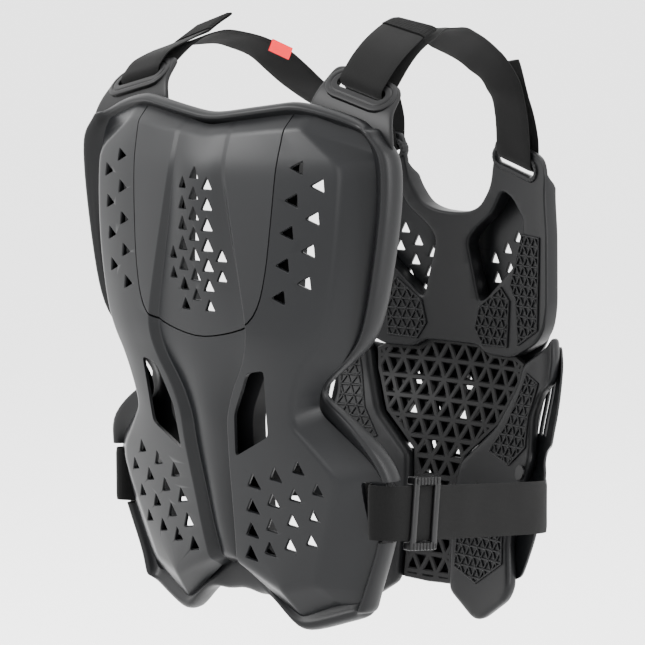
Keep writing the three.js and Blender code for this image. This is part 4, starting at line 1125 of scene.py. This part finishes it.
back_loop = (back_y(BACK_SLOT_X, -BACK_SLOT_DROP) + TAB_WALL / 2, -BACK_SLOT_DROP + SLOT_HEIGHT / 2)
crest_z = STRAP_WALL / 2
LINE_STEP = 2.5
TIP_STEP = 1.5
LOOP_STEPS = 10
front_turn = FRONT_TAB_WALL / 2 + BINDING_RISE + STRAP_WALL / 2 + 3 * PIECE_GAP
back_turn = (TAB_WALL + STRAP_WALL) / 2 + 4 * PIECE_GAP
back_inner = (back_loop[0] - back_turn, back_loop[1])


def run_from(root, rows, side):
    """Points of the side view, given as shares of the way from a slot's bar to the crest"""
    return [Vector((mix(root[0], CREST_Y, p["along"]), mix(crest_z, root[1], p[side]), 0)) for p in rows]


def arc(centre, radius, start, end, steps):
    return [Vector((centre[0] + radius * math.cos(mix(start, end, n / steps)),
                    centre[1] + radius * math.sin(mix(start, end, n / steps)), 0))
            for n in range(steps + 1)]


def strap_bank(y, side):
    """How far the strap falls outward there, per millimetre of its width"""
    after = next((k for k, p in enumerate(STRAP_BANK) if p["y"] > y), 0)
    if not after:
        return SLOT_TILT
    a, b = STRAP_BANK[after - 1], STRAP_BANK[after]
    return mix(a[side], b[side], smooth((y - a["y"]) / (b["y"] - a["y"])))


def strap_place(side):
    """Puts a point of the flat side view on that shoulder"""
    sign = 1 if side == "left" else -1

    def place(y, z, across):
        x = mix(FRONT_SLOT_X, BACK_SLOT_X, smooth(clamp01((y - front_slot_y) / (back_loop[0] - front_slot_y))))
        yaw = 2 * BACK_BOW * BACK_SLOT_X * smooth(clamp01((y - CREST_Y) / 100))
        return Vector((sign * (x + across), y - yaw * across, z - strap_bank(y, side) * across))

    return place


def line_length(line):
    return sum((b - a).length for a, b in zip(line, line[1:]))


def resampled(line, step):
    """The line with points at even steps"""
    out, carry = [line[0]], 0.0
    for a, b in zip(line, line[1:]):
        length = (b - a).length
        while carry + length >= step:
            a = a.lerp(b, (step - carry) / length)
            length = (b - a).length
            carry = 0.0
            out.append(a)
        carry += length
    if carry > step / 4:
        out.append(line[-1])
    return out


def ribbon(name, line, wall, width, place, material, wave=0.35, columns=10, seed=0.0):
    """A strap swept along a side-view line"""
    rings, uvs, along = [], [], 0.0
    half = width / 2
    for i, p in enumerate(line):
        before, after = line[max(0, i - 1)], line[min(len(line) - 1, i + 1)]
        run = (after - before).normalized()
        normal = Vector((-run.y, run.x, 0))
        if i:
            along += (p - line[i - 1]).length
        ring = []
        for side in (1, -1):
            for c in range(columns + 1):
                share = side * (1 - 2 * c / columns)
                across = share * half
                thick = wall / 2 * (1 if abs(share) < 0.99 else 0.45)
                ripple = wave * noise.noise(Vector((along / 22, across / 30, seed)))
                q = p + normal * (side * thick + ripple)
                ring.append(place(q.x, q.y, across))
                uvs.append((across, along))
        rings.append(ring)
    return loft(name, rings, material, uvs=uvs, angle=50)


turn_start = math.atan2(tab_up.y, -tab_up.z)


def shoulder_line(side):
    """The whole strap of that side in the side view, from its free end to its outer end"""
    return (run_from(front_loop, FREE_END, side)[::-1]
            + arc(front_loop, front_turn, turn_start, turn_start + math.pi, LOOP_STEPS)
            + run_from(front_loop, FRONT_CLIMB, side) + run_from(back_inner, BACK_FALL, side)
            + arc(back_loop, back_turn, math.pi, 2 * math.pi, LOOP_STEPS)
            + run_from(back_inner, OUTER_END, side))


for side in ("left", "right"):
    path = resampled(rounded(shoulder_line(side), 30), LINE_STEP)
    strap = ribbon(f"shoulder_strap_{side}", path, STRAP_WALL, STRAP_WIDTH, strap_place(side), WEBBING)
    tip_path = resampled(rounded(run_from(front_loop, TIP_RUN, side), 6), TIP_STEP)
    tip = ribbon(f"strap_tip_{side}", tip_path, TIP_WALL, STRAP_WIDTH + 1, strap_place(side), STUDS, wave=0)
    place_piece(strap, "webbing", f"shoulder_strap_{side}")
    place_piece(tip, "tab", f"strap_tip_{side}")
    line_length(path) * MM
    print(side, "shoulder strap length in mm:", round(line_length(path)))
repaint("strap_tag", TAG)

# %% [markdown]
# ## Waist straps and buckles
# The waist strap comes out of the slot in the side wall, passes round the foam rim through a
# slide buckle, and ends on the outside of the back plate. The buckle is built of blocks with
# rounded edges, and its ribs are repeated with the node group.

# %% Waist straps and buckles
WAIST_LINE = [(0.86, -0.49), (0.882, -0.565), (0.905, -0.607), (0.938, -0.60), (0.972, -0.565), (0.995, -0.51),
              (1.0, -0.43), (0.995, -0.25), (0.975, 0.02), (0.95, 0.33), (0.93, 0.58), (0.91, 0.70),
              (0.875, 0.79), (0.81, 0.855), (0.71, 0.91)]
waist_line = [Vector((x * HALF_WIDTH, y * BACK_DEPTH, 0)) for x, y in WAIST_LINE]
buckle_y = BUCKLE_AT * BACK_DEPTH


def waist_place(x, y, across):
    return Vector((x, y, across - WAIST_DROP - WAIST_FALL * (y - waist_line[1].y)))


waist_path = resampled(rounded(waist_line, 12), LINE_STEP)
waist_straps = place_pair(ribbon("waist_strap_left", waist_path, STRAP_WALL, WAIST_STRAP_WIDTH, waist_place,
                                 WEBBING, wave=0.3, seed=4.0), "webbing", "waist_strap")


def block(name, middle, axes, size, radius, material):
    """A box with rounded edges, laid along three axes"""
    corners = [middle + sum((axes[k] * size[k] * s[k] / 2 for k in range(3)), Vector())
               for s in [(a, b, c) for a in (-1, 1) for b in (-1, 1) for c in (-1, 1)]]
    faces = [(0, 1, 3, 2), (4, 6, 7, 5), (0, 4, 5, 1), (2, 3, 7, 6), (0, 2, 6, 4), (1, 5, 7, 3)]
    obj = mesh_object(name, corners, faces, material)
    bevel = obj.modifiers.new("round", "BEVEL")
    bevel.width = radius * MM
    bevel.segments = 3
    return shade(bake(obj))


def buckle():
    """The left slide buckle: a frame of two bars and two ends, a middle bar and ribs"""
    i = next(k for k, p in enumerate(waist_line) if p.y > buckle_y)
    a, b = waist_line[i - 1], waist_line[i]
    spot = a.lerp(b, (buckle_y - a.y) / (b.y - a.y))
    z = -WAIST_DROP - WAIST_FALL * (buckle_y - waist_line[1].y)
    along = Vector((b.x - a.x, b.y - a.y, -WAIST_FALL * (b.y - a.y))).normalized()
    normal = Vector((b.y - a.y, a.x - b.x, 0)).normalized()
    up = normal.cross(along)
    axes = (along, up, normal)
    middle = Vector((spot.x, spot.y, z))
    lift = STRAP_WALL / 2 + PIECE_GAP + BUCKLE_WALL / 2
    end = (BUCKLE_HEIGHT - WAIST_STRAP_WIDTH) / 2 - 1
    parts = []
    for side in (-1, 1):
        at = middle + normal * lift + along * side * (BUCKLE_WIDTH - BUCKLE_BAR) / 2
        parts.append(block("bar", at, axes, (BUCKLE_BAR, BUCKLE_HEIGHT, BUCKLE_WALL), 1, NYLON))
        at = middle + up * side * (BUCKLE_HEIGHT - end) / 2
        parts.append(block("end", at, axes, (BUCKLE_WIDTH, end, 2 * lift + BUCKLE_WALL), 1.2, NYLON))
    parts.append(block("bar", middle - normal * lift, axes, (BUCKLE_BAR, BUCKLE_HEIGHT - 2, BUCKLE_WALL),
                       1, NYLON))
    rib = block("rib", Vector(), Matrix.Identity(3), (1.6, end, 1.4), 0.5, NYLON)
    places = []
    for side in (-1, 1):
        end_top = middle + up * side * (BUCKLE_HEIGHT - end) / 2 + normal * (lift + BUCKLE_WALL / 2)
        places += [(end_top + along * n * RIB_STEP, axes_from(along, normal), (1, 1, 1)) for n in range(-3, 4)]
    parts.append(repeat("ribs", rib, places, NYLON))
    return shade(join("waist_buckle_left", parts))


place_pair(buckle(), "nylon", "waist_buckle")
waist_size = (WAIST_STRAP_WIDTH * MM, line_length(waist_path) * MM)
for side in ("left", "right"):
    repaint(f"pad_rivet_{side}", NYLON)
print("waist strap length in mm:", round(line_length(waist_path)))

# %% [markdown]
# ## Stage, light and camera
# A pale floor under the guard and a pale world. The key light stands high on the left, as the
# bright left wing shows. Long soft lights on the right draw the highlights on the side walls.

# %% Stage, light and camera
world = bpy.data.worlds.new("studio")
bpy.context.scene.world = world
world.use_nodes = True
set_inputs(world.node_tree.nodes["Background"], Color=(1, 1, 1, 1), Strength=3.6)
FLOOR_Z = -620
FLOOR_SIZE = 60000
floor_corners = [(x, y, FLOOR_Z) for x, y in box_outline(0, 0, FLOOR_SIZE, FLOOR_SIZE)]
floor = mesh_object("floor", floor_corners, [(0, 1, 2, 3)], finish("floor", (0.8, 0.8, 0.8), 0.9, 40, 0.0))

LIGHTS = table("name x y z width height power", [
    ("key", -900, -1500, 900, 0.9, 0.9, 90),
    ("front", 900, -1700, 300, 0.5, 1.2, 14),
    ("side", 1700, 200, 200, 0.5, 1.6, 60),
    ("top", 200, 200, 1500, 1.2, 1.2, 30),
])
aim = Vector((0, 0, -234)) * MM
for row in LIGHTS:
    lamp = bpy.data.lights.new(row["name"], "AREA")
    lamp.shape = "RECTANGLE"
    lamp.size, lamp.size_y, lamp.energy = row["width"], row["height"], row["power"]
    obj = add_object(row["name"], lamp)
    obj.location = Vector((row["x"], row["y"], row["z"])) * MM
    obj.rotation_euler = (aim - obj.location).to_track_quat("-Z", "Y").to_euler()

CAMERA_AZIMUTH = 43.65
CAMERA_ELEVATION = 6.70
CAMERA_DISTANCE = 3.164
turn, rise = math.radians(CAMERA_AZIMUTH), math.radians(CAMERA_ELEVATION)
direction = Vector((math.sin(turn) * math.cos(rise), -math.cos(turn) * math.cos(rise), math.sin(rise)))
camera_data = bpy.data.cameras.new("camera")
camera_data.lens = 223.3
camera_data.sensor_width = 36
camera = add_object("camera", camera_data)
camera.location = aim + direction * CAMERA_DISTANCE
camera.rotation_euler = (-direction).to_track_quat("-Z", "Y").to_euler()
bpy.context.scene.camera = camera
